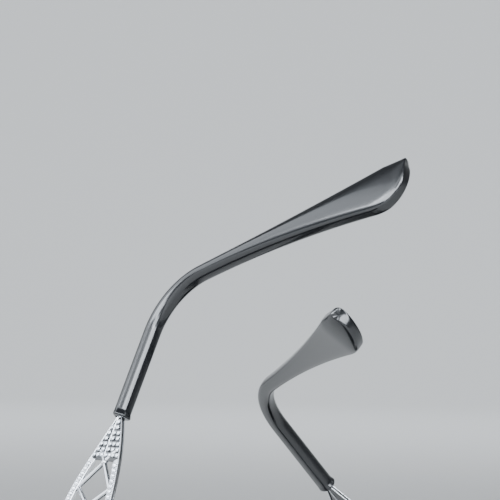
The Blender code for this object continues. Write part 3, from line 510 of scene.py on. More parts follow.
def front_frame():
    """Rims and bridge in one shell: a grid around the lens opening, closed across its profile.

    The rows run from the opening's wall over its rounded lip, along the face and around the outer
    edge's quarter circle. The same rows in reverse, mirrored in the front's middle plane, make the
    back. On the middle line only the two faces are kept, where the right half meets the left one.
    """
    outer, order, on_middle = half_outline()
    first, middle = int(np.argmax(on_middle)), int(on_middle.sum())
    loop = np.roll(outer[~on_middle], -first, axis=0)
    loop[0, 0] = loop[-1, 0] = 0
    whole = np.vstack([loop, loop[-2:0:-1] * (-1, 1)])

    def outer_row(inset):
        edge = np.zeros((LOOP_POINTS, 2))
        edge[~on_middle] = np.roll(offset(whole, -inset)[:len(loop)], first, axis=0)
        before, after = edge[first - 1], edge[(first + middle) % LOOP_POINTS]
        edge[on_middle] = np.linspace(before, after, middle + 2)[1:-1]
        return edge

    turn = np.linspace(0, np.pi / 2, ROUND_STEPS + 1)
    profile = [(lens_outline(LIP_ROUND * (1 - math.sin(t)))[order], LIP_ROUND * (1 - math.cos(t)))
               for t in turn[::-1]]
    inner, rim_edge = lens_outline(LIP_ROUND)[order], outer_row(EDGE_ROUND)
    shares = np.linspace(0, 1, FACE_ROWS + 2)[1:-1]
    profile += [(inner + (rim_edge - inner) * share, 0) for share in shares]
    wall_start = len(profile)
    profile += [(outer_row(EDGE_ROUND * (1 - math.sin(t))), EDGE_ROUND * (1 - math.cos(t)))
                for t in turn]
    profile += [(edge, FRONT_THICKNESS - z) for edge, z in profile[::-1]]
    wall_end = len(profile) - wall_start - 1
    rows = np.array([triples(*edge.T, z) for edge, z in profile])
    rows[..., 2] += wrap(rows[..., 0])
    points, quads, triangles = grid(rows, closed_rows=True, closed_columns=True)
    across = on_middle | np.roll(on_middle, -1)
    row, column = np.divmod(np.arange(len(quads)), LOOP_POINTS)
    quads = quads[~(across[column] & (row >= wall_start) & (row < wall_end))]
    used, places = np.unique(quads, return_inverse=True)
    right = points[used], places.reshape(-1, 4), triangles
    return join(right, mirrored(right, -1))


def lens():
    """Domed lens: scaled copies of its edge, set forward by the dome times 1 - share squared."""
    edge = lens_outline(LENS_SEAT)
    shares = np.linspace(LENS_POLE, 1, 24)
    rings = []
    for face, order in ((-1, shares), (1, shares[::-1])):
        points = LENS_MIDDLE + (edge - LENS_MIDDLE) * order[:, None, None]
        z = FRONT_THICKNESS / 2 + face * LENS_THICKNESS / 2 - LENS_DOME * (1 - order ** 2)
        rings.append(np.dstack([points, z[:, None] + wrap(points[..., 0])]))
    return skin(np.concatenate(rings))


# Hinges, on the right

def knuckle(centre):
    """Short round sleeve about the Y axis with its outer edges broken."""
    half = KNUCKLE_LENGTH / 2
    shoulder, waist = KNUCKLE_RADIUS - BAR_EDGE, half - BAR_EDGE
    profile = [(BORE_RADIUS, -half), (shoulder, -half), (KNUCKLE_RADIUS, -waist),
               (KNUCKLE_RADIUS, waist), (shoulder, half), (BORE_RADIUS, half)]
    return turned(profile, ALONG_Y, centre, segments=48, hollow=True)


def front_hinge():
    """Leaf let into the front, with two knuckles on necks."""
    parts = [box((HINGE_X - LEAF_INBOARD, HINGE_Y - LEAF_HALF, LEAF_TOP - LEAF_THICKNESS),
                 (HINGE_X + LEAF_OUTBOARD, HINGE_Y + LEAF_HALF, LEAF_TOP), LEAF_EDGE)]
    half = KNUCKLE_LENGTH / 2
    for level in (1, -1):
        y = HINGE_Y + level * (KNUCKLE_LENGTH + KNUCKLE_SPACE)
        parts.append(knuckle((HINGE_X, y, HINGE_Z)))
        parts.append(box((HINGE_X - NECK_HALF, y - half, LEAF_TOP - NECK_ROOT),
                         (HINGE_X + NECK_HALF, y + half, HINGE_Z - NECK_BELOW_PIN), BAR_EDGE))
    return join(*parts)


def hinge_pin():
    """Screw through the three knuckles, its head above the upper one."""
    seat = (HINGE_X, HINGE_Y + HINGE_HALF + PIN_GAP, HINGE_Z)
    return screw(PIN_RADIUS, 2 * HINGE_HALF + PIN_GAP, PIN_HEAD_RADIUS, seat, ALONG_Y)


def leaf_screw(level):
    """Screw that holds the leaf, above or below the knuckles."""
    return screw(*LEAF_SCREW, (HINGE_X + (LEAF_OUTBOARD - LEAF_INBOARD) / 2,
                               HINGE_Y + level * LEAF_SCREW_Y, LEAF_TOP + PIN_GAP))


def temple_hinge():
    """Plate brazed to the arm's inner face, with the middle knuckle, in the temple's own axes."""
    half, wide = KNUCKLE_LENGTH / 2, PLATE_WIDTH / 2
    inner, outer = KNUCKLE_RADIUS - PLATE_THICKNESS, ARM_OFFSET - BRAZE_REACH * ARM_THICKNESS
    plate = box((inner, -wide, PLATE_START), (KNUCKLE_RADIUS, wide, PLATE_END), PLATE_EDGE)
    braze = box((KNUCKLE_RADIUS - PLATE_INSET, PLATE_INSET - wide, PLATE_START + PLATE_INSET),
                (outer, wide - PLATE_INSET, PLATE_END - PLATE_INSET), FINE_EDGE)
    neck = box((inner + PLATE_INSET, -half, PLATE_NECK_START),
               (KNUCKLE_RADIUS, half, PLATE_START + LAP), BAR_EDGE)
    return join(plate, braze, knuckle((0, 0, 0)), neck)


# Temples, in a temple's own axes: outwards, to the brow and along the arm

def to_row(points, side):
    """From a temple's own axes to the part's frame, by its fold about the pin."""
    turn = -side * FOLD[side]
    x, y, z = np.moveaxis(points * (side, 1, 1), -1, 0)
    out, back = math.cos(turn) * x + math.sin(turn) * z, math.cos(turn) * z - math.sin(turn) * x
    return triples(out + side * HINGE_X, y + HINGE_Y, back + HINGE_Z)


def temple_line(s):
    """Middle of the temple at a distance s: straight, then a circle's arc, then straight again."""
    turn = np.clip((s - STRAIGHT_LENGTH) / BEND_RADIUS, 0, BEND_ANGLE)
    past = np.maximum(s - BEND_END, 0)
    along = np.minimum(s, STRAIGHT_LENGTH) + BEND_RADIUS * np.sin(turn)
    along, below = along + past * math.cos(BEND_ANGLE), BEND_RADIUS * (1 - np.cos(turn))
    below = below + past * math.sin(BEND_ANGLE)
    lean_radius = (TIP_END - STRAIGHT_LENGTH) / INWARD_ANGLE
    lean = np.maximum(s - STRAIGHT_LENGTH, 0) / lean_radius
    return along, below, lean_radius * (1 - np.cos(lean)), turn, lean


def tip_rings(s, top, low, outer, inner, squareness, crown, slant):
    """Rings square to the temple's middle line: a superellipse whose outer side is crowned.

    top, low, outer and inner are how far a ring reaches each way. The outer reach is
    multiplied by 1 - crown u squared, where u runs from -1 at the low edge to 1 at the top one.
    Each point is moved along the temple by slant (1 + u) / 2 times its share of the thickness.
    """
    along, below, inwards, turn, lean = (value[:, None] for value in temple_line(s))
    unit = section(squareness, RING_POINTS)
    up = ((top - low) / 2)[:, None] + unit[..., 0] * ((top + low) / 2)[:, None]
    crowned = outer[:, None] * (1 - crown[:, None] * unit[..., 0] ** 2)
    thick = unit[..., 1] * np.where(unit[..., 1] > 0, crowned, inner[:, None])
    out = ARM_OFFSET - inwards + thick * np.cos(lean)
    ahead = thick * np.sin(lean) + slant[:, None] * unit[..., 1] * (1 + unit[..., 0]) / 2
    y = -below + up * np.cos(turn) - ahead * np.sin(turn)
    return triples(out, y, along + up * np.sin(turn) + ahead * np.cos(turn))


def lip_share(s):
    """How far into the lip: 0 where it starts and 1 at the mouth."""
    return np.clip(1 - (s - TIP_START) / LIP_LENGTH, 0, 1)


def lip_swell(s):
    """Share of the lip's flare and drop that is reached: the sine squared of a quarter turn."""
    return np.sin(np.pi / 2 * lip_share(s)) ** 2


def tip_sizes(s):
    """Half height, half thickness, squareness and crown: a round shaft that widens to a paddle."""
    widen = np.clip((s - BEND_END) / (TIP_END - PADDLE_FULL_LENGTH - BEND_END), 0, 1)
    flare = LIP_FLARE * lip_swell(s)
    height = SHAFT_HEIGHT + (PADDLE_HEIGHT - SHAFT_HEIGHT) * widen ** WIDEN_POWER
    thickness = SHAFT_THICKNESS + (PADDLE_THICKNESS - SHAFT_THICKNESS) * widen
    squareness = SHAFT_SQUARENESS + (PADDLE_SQUARENESS - SHAFT_SQUARENESS) * widen
    squareness -= LIP_ROUNDER * lip_share(s)
    crown = SHAFT_CROWN + (PADDLE_CROWN - SHAFT_CROWN) * widen
    return height / 2 + flare, thickness / 2 + flare, squareness, crown


def rounded_corner(distance, length, height):
    """How far a corner's elliptic curve cuts in at a distance before its end."""
    inside = np.clip(1 - distance / length, 0, 1)
    return height * (1 - np.sqrt(1 - inside ** 2))


def tip():
    """Moulded tip: a bore, a flared lip, a bend over the ear and a paddle with a round end."""
    flat, wider = np.zeros(3), np.array([0, 0, FINE_EDGE])
    high, wide = BORE_HALF_HEIGHT + wider, BORE_HALF_WIDTH + wider
    bore = tip_rings(TIP_START + np.array([CORE_REACH, FINE_EDGE, 0]), high, high, wide, wide,
                     flat + BORE_SQUARENESS, flat, flat)
    turn = np.linspace(0, np.pi / 2, 12)
    lip = TIP_START + LIP_EDGE * (1 - np.cos(turn))
    shaft = np.linspace(lip[-1], STRAIGHT_LENGTH, 60)[1:-1]
    bend = np.linspace(STRAIGHT_LENGTH, BEND_END, 90)
    corner = TIP_END - END_LOW_LENGTH
    paddle = np.linspace(BEND_END, corner, 60)[1:-1]
    end = corner + END_LOW_LENGTH * np.sin(np.linspace(0, np.pi / 2, 60))
    s = np.concatenate([lip, shaft, bend, paddle, end])
    half, thick, square, crown = tip_sizes(s)
    inset = np.zeros(len(s))
    inset[:len(lip)] = LIP_EDGE * (1 - np.sin(turn))
    left = TIP_END - s
    drop = LIP_DROP * lip_swell(s)
    top = half - drop - inset - rounded_corner(left, END_TOP_RADIUS, END_TOP_RADIUS)
    low = half + drop - inset - rounded_corner(left, END_LOW_LENGTH, END_LOW_HEIGHT)
    thick = thick - inset - rounded_corner(left, END_ROUND, END_ROUND)
    inner = thick * (1 - END_THIN * np.clip(1 - left / END_THIN_LENGTH, 0, 1) ** 2)
    slant = END_SLANT * np.clip(1 - left / END_SLANT_LENGTH, 0, 1)
    return skin(np.concatenate([bore, tip_rings(s, top, low, thick, inner, square, crown, slant)]))


def arm_half_height(z):
    """Half height of the openwork arm: it swells from the hinge, then narrows to the core."""
    swell = np.clip(z / ARM_FAN_START, 0, 1)
    swell = swell ** 2 * (3 - 2 * swell)
    narrow = np.clip((z - ARM_FAN_START) / (TIP_START - ARM_FAN_START), 0, 1) ** ARM_FAN_POWER
    height = ARM_ROOT_HEIGHT + (ARM_MIDDLE_HEIGHT - ARM_ROOT_HEIGHT) * swell
    return (height - (ARM_MIDDLE_HEIGHT - CORE_HEIGHT) * narrow) / 2


def arm_edge(level, z):
    """Height of the arm's upper or lower edge: the fan drops by a sine squared along its length."""
    share = np.clip((z - ARM_FAN_START) / FAN_DROP_LENGTH, 0, 1)
    return level * arm_half_height(z) - FAN_DROP * np.sin(np.pi * share) ** 2


def arm_bar(y, z, half_width, half_depth, edge, out=0.0):
    """Bar along the arm, or beside it by out: as wide as given in its plane, as deep outwards."""
    path = triples(ARM_OFFSET + out, y, z)
    across = normalised(np.cross((1, 0, 0), np.gradient(path, axis=0)))
    return sweep(path, across, (1, 0, 0), half_width, half_depth, edge)


def arm():
    """Openwork arm: rails between pairs of wires, crossed struts, a middle wire and the core."""
    z = np.linspace(ARM_BUTT, TIP_START + MOUTH_LAP, 180)
    rails = np.linspace(ARM_BUTT, RAIL_END, 150)
    stones = np.linspace(STONE_ROW_START - THREAD_LEAD, PAVE_START, 150)
    spine = np.linspace(LATTICE_END - SPINE_LEAD, TIP_START + MOUTH_LAP, 40)
    plate, deep = ARM_THICKNESS / 2, WIRE_DEPTH / 2
    wire_out = plate + WIRE_PROUD - deep
    near_tip = np.clip(1 - (TIP_START - z) / WIRE_TAPER_LENGTH, 0, 1)
    wire_half = WIRE_HALF * (1 - WIRE_TAPER * near_tip)
    parts = []
    for level in (1, -1):
        parts.append(arm_bar(arm_edge(level, rails) - level * RAIL_WIDTH / 2, rails,
                             RAIL_WIDTH / 2 - RAIL_INSET, RAIL_DEPTH * plate, BAR_EDGE))
        wire_y = arm_edge(level, z) - level * wire_half
        for out in (wire_out, -wire_out):
            parts.append(arm_bar(wire_y, z, wire_half, deep, FINE_EDGE, out))
        thread_y = arm_edge(level, stones) - level * (RAIL_WIDTH - THREAD_HALF)
        parts.append(arm_bar(thread_y, stones, THREAD_HALF, plate, FINE_EDGE))
        parts.append(arm_bar(SPINE_RAISE, spine, SPINE_HALF, deep, BAR_EDGE, level * wire_out))
    root = np.linspace(ARM_BUTT, LATTICE_START, 30)
    root_half = arm_half_height(root) - RAIL_WIDTH + LAP
    parts.append(arm_bar(0, root, root_half, ROOT_DEPTH * plate, BAR_EDGE))
    ends = np.linspace(LATTICE_START, LATTICE_END, LATTICE_CELLS + 1)
    upper, lower = (arm_edge(level, ends) - level * (RAIL_WIDTH - STRUT_LAP) for level in (1, -1))
    boss = np.vstack([BOSS[::-1] * (1, -1), BOSS])
    for i in range(LATTICE_CELLS):
        for heights in ((upper[i], lower[i + 1]), (lower[i], upper[i + 1])):
            parts.append(arm_bar(heights, ends[i:i + 2], STRUT_WIDTH / 2, STRUT_DEPTH * plate,
                                 STRUT_EDGE))
        share = (upper[i] - lower[i]) / (upper[i] - lower[i] + upper[i + 1] - lower[i + 1])
        crossing = (ARM_OFFSET, upper[i] + (lower[i + 1] - upper[i]) * share,
                    ends[i] + (ends[i + 1] - ends[i]) * share)
        parts.append(turned(boss, ALONG_X, crossing))
    core = np.linspace(TIP_START + CORE_START, TIP_START + CORE_REACH, 12)
    parts.append(arm_bar(0, core, CORE_HEIGHT / 2, plate, LEAF_EDGE))
    return join(*parts)


def pave_ground():
    """Black plate behind the stones of the fan, as wide as the fan less a wire."""
    z = np.linspace(GROUND_START, TIP_START + MOUTH_LAP, 60)
    upper, lower = arm_edge(1, z), arm_edge(-1, z)
    half = (upper - lower) / 2 - WIRE_HALF / 2
    return arm_bar((upper + lower) / 2, z, half, GROUND_HALF, GROUND_EDGE)


def row_stones(level):
    """Places and sizes of the stones along one rail: evenly spaced by length."""
    z = np.linspace(STONE_ROW_START, PAVE_START, 2000)
    path = np.stack([arm_edge(level, z) - level * (RAIL_WIDTH / 2 + STONE_ROW_INSET), z], 1)
    total = lengths(path)[-1]
    count = int(total / STONE_PITCH)
    return points_at(path, (np.arange(count) + 0.5) * total / count), np.full(count, STONE_RADIUS)


def pave_stones(level):
    """Places and sizes of the stones between one rail's wire and the middle wire, row by row."""
    places, sizes = [], []
    near = SPINE_RAISE + level * SPINE_HALF * PAVE_ON_SPINE
    for z in np.arange(TIP_START + PAVE_FIRST, PAVE_START + PAVE_PITCH / 3, -PAVE_PITCH):
        room = level * (arm_edge(level, z) - near) - PAVE_OFF_WIRE * WIRE_HALF
        if room < PAVE_LEAST_ROOM:
            continue
        count = max(1, int(room / (PAVE_ROOM * PAVE_RADIUS)))
        y = near + level * (np.arange(count) + 0.5) * room / count
        places.append(np.column_stack([y, np.full(count, z)]))
        sizes.append(np.full(count, min(PAVE_RADIUS, room / count * PAVE_FILL)))
    return np.vstack(places), np.concatenate(sizes)


def stone_places(flat, size, sink=0.0):
    """Where stones sit on the arm's outer face, and their three directions times their size."""
    places = triples(ARM_OFFSET + ARM_THICKNESS / 2 - sink, *flat.T)
    axes = np.zeros((len(flat), 3, 3))
    axes[:, 0, 1] = axes[:, 1, 2] = axes[:, 2, 0] = size
    return places, axes


def stones_and_settings(level):
    """All the cut stones of one side of the arm, and the cups and grains that hold them."""
    rail, pave = stone_places(*row_stones(level)), stone_places(*pave_stones(level), PAVE_SINK)
    stones = join(repeat(cut_stone(), *rail), repeat(cut_stone(), *pave))
    return stones, join(repeat(join(cup(), grains()), *rail), repeat(grains(), *pave))


def cut_stone():
    """Round stone of radius 1: a point, the girdle, the crown's upper edge and a flat table."""
    return facets([(0.02, -0.7), (1.0, 0.45), (0.8, 0.72), (0.5, 0.86)], 8)


def cup():
    """Thin cup around a stone of radius 1: its wall's foot, its outer face and its lip."""
    profile = [(0.86, -0.75), (1.1, -0.75), (1.14, 0.42), (0.98, 0.46)]
    return turned(profile, segments=12, hollow=True)


def grains():
    """Four grains of metal that hold a stone of radius 1, just outside its girdle."""
    grain = facets([(0.16, -0.5), (0.22, 0.5), (0.1, 0.74)], 4)
    angle = (np.arange(4) + 0.5) * np.pi / 2
    places = 1.02 * triples(np.cos(angle), np.sin(angle), 0)
    return repeat(grain, places, np.broadcast_to(np.eye(3), (4, 3, 3)))


# Nose pads, on the right, in a pad's own axes: away from the nose, along the pad, along its pivot

def from_pivot(points):
    """From the pad's own axes to the part's frame: turned about Z, then about Y."""
    x, y, z = np.moveaxis(points, -1, 0)
    c, s = math.cos(PAD_FRONTAL), math.sin(PAD_FRONTAL)
    x, y = c * x - s * y, s * x + c * y
    c, s = math.cos(PAD_SPLAY), math.sin(PAD_SPLAY)
    return triples(c * x + s * z, y, c * z - s * x) + PAD_PIVOT


def nose_pad():
    """Soft oval pad, a superellipse across its thickness, with a tab around its screw."""
    turn = np.linspace(-np.pi / 2, np.pi / 2, PAD_ROWS + 2)[1:-1, None]
    angle = around(PAD_COLUMNS)
    power = 2 / PAD_SQUARENESS
    level = np.sign(np.sin(turn)) * np.abs(np.sin(turn)) ** power
    share = np.cos(turn) ** power
    x = -(PAD_STANDOFF + PAD_THICKNESS / 2 * (1 + level))
    y, z = PAD_LENGTH / 2 * share * np.cos(angle), PAD_WIDTH / 2 * share * np.sin(angle)
    pad = skin(triples(x, y, z))
    half = TAB_THICKNESS / 2
    bore = PAD_SCREW_RADIUS + PIN_GAP
    profile = [(bore, -half), (TAB_RADIUS, -half), (TAB_RADIUS, half), (bore, half)]
    eye = turned(profile, hollow=True)
    path = [(-PAD_STANDOFF - PAD_THICKNESS / 2, 0, 0), (-bore - FINE_EDGE, 0, 0)]
    neck = sweep(path, (0, 1, 0), (0, 0, 1), TAB_RADIUS, half, FINE_EDGE)
    return moved(join(pad, eye, neck), from_pivot)


def pad_screw():
    """Screw across the lug and the pad's tab."""
    half = TAB_THICKNESS / 2 + LUG_GAP + LUG_WALL
    seat = (0, 0, half + PIN_GAP)
    return moved(screw(PAD_SCREW_RADIUS, 2 * half + PIN_GAP, PAD_SCREW_HEAD, seat), from_pivot)


def rounded_path(route, steps):
    """Catmull-Rom curve through the route's points."""
    ends = np.vstack([2 * route[0] - route[1], route, 2 * route[-1] - route[-2]])
    a, b, c, d = (ends[i:len(ends) - 3 + i, None] for i in range(4))
    t = (np.arange(steps) / steps)[:, None]
    bent = (2 * a - 5 * b + 4 * c - d) * t ** 2 + (3 * b - a - 3 * c + d) * t ** 3
    curve = 0.5 * (2 * b + (c - a) * t + bent)
    return np.vstack([curve.reshape(-1, 3), route[-1:]])


def pad_arm():
    """Wire from a foot on the rim to a forked lug around the pad's tab."""
    wide, high = FOOT_WIDTH / 2, FOOT_HEIGHT / 2
    foot = box((FOOT_X - wide, FOOT_Y - high, FOOT_Z),
               (FOOT_X + wide, FOOT_Y + high, FOOT_Z + FOOT_THICKNESS), PLATE_EDGE)
    slot, high = TAB_THICKNESS / 2 + LUG_GAP, LUG_HEIGHT / 2
    fork = []
    for level in (1, -1):
        middle = level * (slot + LUG_WALL / 2)
        fork.append(sweep([(-TAB_RADIUS, 0, middle), (LUG_BACK, 0, middle)], (0, 1, 0), (0, 0, 1),
                          high, LUG_WALL / 2, LUG_EDGE))
    fork.append(box((TAB_RADIUS + LUG_GAP / 2, -high, -slot - LAP),
                    (LUG_BACK, high, slot + LAP), FINE_EDGE))
    away, above = PAD_WIRE_BEHIND
    behind, lug_back = from_pivot(np.array([(LUG_BACK + away, above, 0), (LUG_BACK - LAP, 0, 0)]))
    out, back = PAD_WIRE_SWING
    swing = (FOOT_X + out, FOOT_Y, (FOOT_Z + behind[2]) / 2 + back)
    route = np.array([(FOOT_X, FOOT_Y, FOOT_Z + FOOT_THICKNESS / 2),
                      (FOOT_X, FOOT_Y, FOOT_Z + PAD_WIRE_RISE), swing, behind, lug_back])
    path = rounded_path(route, 24)
    tangent = np.gradient(path, axis=0)
    across = normalised(np.cross(tangent, PAD_WIRE_ASIDE))
    out = normalised(np.cross(tangent, across))
    wire = sweep(path, across, out, PAD_WIRE_RADIUS, PAD_WIRE_RADIUS,
                 PAD_WIRE_RADIUS * PAD_WIRE_ROUND, steps=5)
    return join(foot, moved(join(*fork), from_pivot), wire)


# Finishes

NOISE_RANGE = (0.3, 0.7)  # most of a noise texture's values lie between these
MIX_FIRST, MIX_SECOND, MIX_RESULT = 6, 7, 2  # a Mix node's colour sockets
CRYSTAL_CELL = 1.1 * MM
GRADE_LOW = -30 * MM  # the lens is palest from here down, and darkest from GRADE_TOP up
GRADE_TOP = 8 * MM
ROUND_SHARP = 50.0  # degrees from which an edge shows as one
PLAIN_SHARP = 35.0
CUT_SHARP = 1.0


def linear(code):
    """Linear colour of an sRGB hex code."""
    values = np.array([int(code[i:i + 2], 16) / 255 for i in (0, 2, 4)])
    return (*np.where(values <= 0.04045, values / 12.92, ((values + 0.055) / 1.055) ** 2.4), 1.0)


def feed(tree, made, inputs):
    """Sets each of a node's inputs, or links it where the value is another node's socket."""
    for key, value in inputs.items():
        if isinstance(value, bpy.types.NodeSocket):
            tree.links.new(value, made.inputs[key])
        else:
            made.inputs[key].default_value = value


def node(tree, kind, inputs, **settings):
    """Adds a node with its settings and feeds its inputs."""
    made = tree.nodes.new("ShaderNode" + kind)
    for key, value in settings.items():
        setattr(made, key, value)
    feed(tree, made, inputs)
    return made


def finish(name, colour, **values):
    """New material with a Principled shader: its tree, its shader and its Object coordinates."""
    made = bpy.data.materials.new(name)
    made.use_nodes = True
    tree = made.node_tree
    shader = tree.nodes["Principled BSDF"]
    named = {key.replace("_", " "): value for key, value in values.items()}
    feed(tree, shader, {"Base Color": linear(colour), **named})
    return made, tree, shader, node(tree, "TexCoord", {}).outputs["Object"]


def noise(tree, place, pitch, detail):
    """Cloudy pattern whose clouds lie a pitch apart, in millimetres."""
    made = node(tree, "TexNoise", {"Vector": place, "Scale": 1 / (pitch * MM), "Detail": detail})
    return made.outputs["Fac"]


def add_relief(tree, shader, pattern, strength, depth):
    """Raises the surface where a pattern says."""
    bump = node(tree, "Bump", {"Height": pattern, "Strength": strength, "Distance": depth})
    feed(tree, shader, {"Normal": bump.outputs["Normal"]})


def add_gloss(tree, shader, pattern, low, high):
    """Roughness between two values, as a pattern says."""
    spread = node(tree, "MapRange", {"Value": pattern, "From Min": NOISE_RANGE[0],
                                     "From Max": NOISE_RANGE[1], "To Min": low, "To Max": high})
    feed(tree, shader, {"Roughness": spread.outputs["Result"]})


def add_tint(tree, shader, factor, first, second):
    """Base colour from the first where the factor is 0 to the second where it is 1."""
    mixed = node(tree, "Mix", {"Factor": factor, MIX_FIRST: linear(first),
                               MIX_SECOND: linear(second)}, data_type="RGBA")
    feed(tree, shader, {"Base Color": mixed.outputs[MIX_RESULT]})


def polished_acetate(name, colour, roughness):
    """Injection-moulded black plastic, tumbled to a gloss.

    Tumbling leaves soft clouds in the gloss, 7 mm apart, and a faint swell, 2 mm apart.
    """
    made, tree, shader, place = finish(name, colour, IOR=1.5, Coat_Weight=0.35, Coat_Roughness=0.06)
    add_gloss(tree, shader, noise(tree, place, 7, 4.0), roughness * 0.85, roughness * 1.15)
    add_relief(tree, shader, noise(tree, place, 2, 1.0), 0.06, 0.02 * MM)
    return made


def plated_silver():
    """Cast brass with a polished rhodium plate: bright, neutral, with a fine cast texture under it.

    The grain is 0.35 mm, coarser than a real casting's, so that it shows.
    """
    made, tree, shader, place = finish("polished_rhodium_plate", "d3d5d8", Metallic=1.0)
    grain = noise(tree, place, 0.35, 3.0)
    add_gloss(tree, shader, grain, 0.14, 0.21)
    add_relief(tree, shader, grain, 0.12, 0.02 * MM)
    return made


def satin_steel():
    """Stamped and barrel-finished stainless steel: fine streaks 0.12 mm apart, 2 mm long in Y."""
    made, tree, shader, place = finish("satin_stainless_steel", "9b9ea3", Metallic=1.0)
    streak = node(tree, "Mapping", {
        "Vector": place, "Scale": (1 / (0.12 * MM), 1 / (2 * MM), 1 / (0.12 * MM))})
    lines = node(tree, "TexNoise", {
        "Vector": streak.outputs["Vector"], "Scale": 1.0, "Detail": 2.0}).outputs["Fac"]
    add_gloss(tree, shader, lines, 0.26, 0.33)
    add_relief(tree, shader, lines, 0.1, 0.01 * MM)
    return made


def cut_crystal():
    """Foil-backed lead crystal: clear, with bright flat facets, each stone lighter or darker."""
    made, tree, shader, place = finish(
        "foil_backed_crystal", "eef1f5", Metallic=0.35, Roughness=0.03, IOR=1.7)
    cells = node(tree, "TexVoronoi", {"Vector": place, "Scale": 1 / CRYSTAL_CELL})
    add_tint(tree, shader, cells.outputs["Distance"], "f7f9fc", "c9d0da")
    return made


def smoke_lens():
    """Dyed polycarbonate: see-through, dark grey at the top and lighter from the middle down."""
    made, tree, shader, place = finish(
        "graded_smoke_polycarbonate", "3a3b40", Roughness=0.02, IOR=1.58, Transmission_Weight=1.0,
        Coat_Weight=0.4, Coat_Roughness=0.01)
    height = node(tree, "SeparateXYZ", {"Vector": place})
    ramp = node(tree, "MapRange", {
        "Value": height.outputs["Y"], "From Min": GRADE_LOW, "From Max": GRADE_TOP},
        interpolation_type="SMOOTHSTEP")
    add_tint(tree, shader, ramp.outputs["Result"], "77787e", "26272b")
    return made


def clear_silicone():
    """Cast silicone rubber: cloudy and soft to the light, with a matt skin."""
    made, tree, shader, place = finish(
        "cast_clear_silicone", "dcddd8", Roughness=0.36, IOR=1.41, Transmission_Weight=0.8,
        Subsurface_Weight=0.2, Subsurface_Radius=(2 * MM, 2 * MM, 2 * MM))
    add_tint(tree, shader, noise(tree, place, 1.5, 2.0), "d2d3cd", "e6e7e3")
    return made


# Stage, lights and camera

AZIMUTH = math.radians(-41.9)
ELEVATION = math.radians(-0.66)
ROLL = math.radians(-0.97)
DISTANCE = 720 * MM
AIM = np.array([0, 7.0, 98.43]) * MM
SHIFT_RIGHT = 3.75 * MM
SHIFT_UP = -1.43 * MM
FOCAL_PIXELS = 3735.0
IMAGE_PIXELS = 500
SENSOR_WIDTH = 36.0

LEVEL_BACK = np.array([math.sin(AZIMUTH), -math.cos(AZIMUTH), 0])
BACK = math.cos(ELEVATION) * LEVEL_BACK + (0, 0, math.sin(ELEVATION))
RIGHT = np.array([math.cos(AZIMUTH), math.sin(AZIMUTH), 0])
UP = np.cross(BACK, RIGHT)

# The stage, in metres: a flat floor, a curve and a wall
FLOOR_RINGS = (0.02, 0.4, 1.2)
FLOOR_RADIUS = 2.4
FLOOR_CURVE = 1.0
FLOOR_DROP = 0.05 * MM  # how far it lies under the glasses
WALL_HEIGHT = 4.0
STAGE_POINTS = 96

# Degrees left of the camera and up, distance, width and height in metres, watts, degrees of tilt
SOFT_BOXES = (("left_front_strip", 38, 22, 0.9, 1.04, 0.3, 18.0, 18),
              ("middle_front_box", -6, 18.5, 0.9, 0.5, 0.26, 7.0, 20),
              ("right_front_strip", -31, 20.5, 0.9, 0.76, 0.2, 9.0, 24),
              ("upper_front_box", 28, 40, 0.9, 1.2, 0.17, 2.4),
              ("left_side_box", 90, 21, 0.9, 0.76, 0.76, 7.0),
              ("right_fill", -84, 40, 1.4, 0.6, 0.6, 2.0))
WALL_LIGHT = ("backdrop_light", 0, 50, 1.7, 2.0, 1.0, 46.0)
WALL_AIM = AIM - 2.8 * BACK
ROOM_STRENGTH = 0.2


def add_stage():
    """Pale matt paper: a round floor that curves up into a wall well behind every camera place."""
    turn = np.linspace(0, np.pi / 2, 24)
    reach = FLOOR_RADIUS + FLOOR_CURVE
    radius = np.concatenate([FLOOR_RINGS, FLOOR_RADIUS + FLOOR_CURVE * np.sin(turn), [reach]])
    height = np.concatenate([np.zeros(len(FLOOR_RINGS)), FLOOR_CURVE * (1 - np.cos(turn)),
                             [WALL_HEIGHT]]) - FLOOR_DROP
    radius, height, angle = radius[:, None], height[:, None], around(STAGE_POINTS)
    rings = triples(radius * np.cos(angle), radius * np.sin(angle), height)
    points, quads, _ = grid(rings, closed_columns=True)
    first = np.arange(STAGE_POINTS)
    centre = triples(first, np.roll(first, -1), len(points))
    points = np.vstack([points, [(0, 0, -FLOOR_DROP)]])
    mesh = bpy.data.meshes.new("paper_stage")
    mesh.from_pydata(points, [], quads[:, ::-1].tolist() + centre.tolist())
    mesh.shade_smooth()
    made, tree, shader, place = finish("pale_matt_paper", "c9c8c6", Roughness=0.9,
                                       Specular_IOR_Level=0.2)
    add_relief(tree, shader, noise(tree, place, 3, 3.0), 0.05, 0.05 * MM)
    mesh.materials.append(made)
    obj = new_object("paper_stage", mesh)


def put_at(obj, right, up, back, at):
    """Places a light or the camera, its own three axes along the given directions."""
    matrix = np.eye(4)
    matrix[:3] = np.column_stack([right, up, back, at])
    obj.matrix_world = Matrix(matrix.tolist())


def add_light(name, left, up, distance, width, height, power, tilt=0, aim=AIM):
    """Cool soft box facing the glasses: left of the camera and up, its right end tilted down."""
    left, up, tilt = np.radians((left, up, tilt))
    level = math.cos(left) * BACK - math.sin(left) * RIGHT
    direction = math.cos(up) * level + math.sin(up) * UP
    across = normalised(np.cross(UP, direction))
    across = math.cos(tilt) * across - math.sin(tilt) * np.cross(direction, across)
    data = bpy.data.lights.new(name, "AREA")
    data.shape = "RECTANGLE"
    data.size, data.size_y = width, height
    data.energy = power
    data.color = linear("f0f7ff")[:3]
    obj = new_object(name, data)
    put_at(obj, across, np.cross(direction, across), direction, aim + direction * distance)
    obj.visible_camera = False


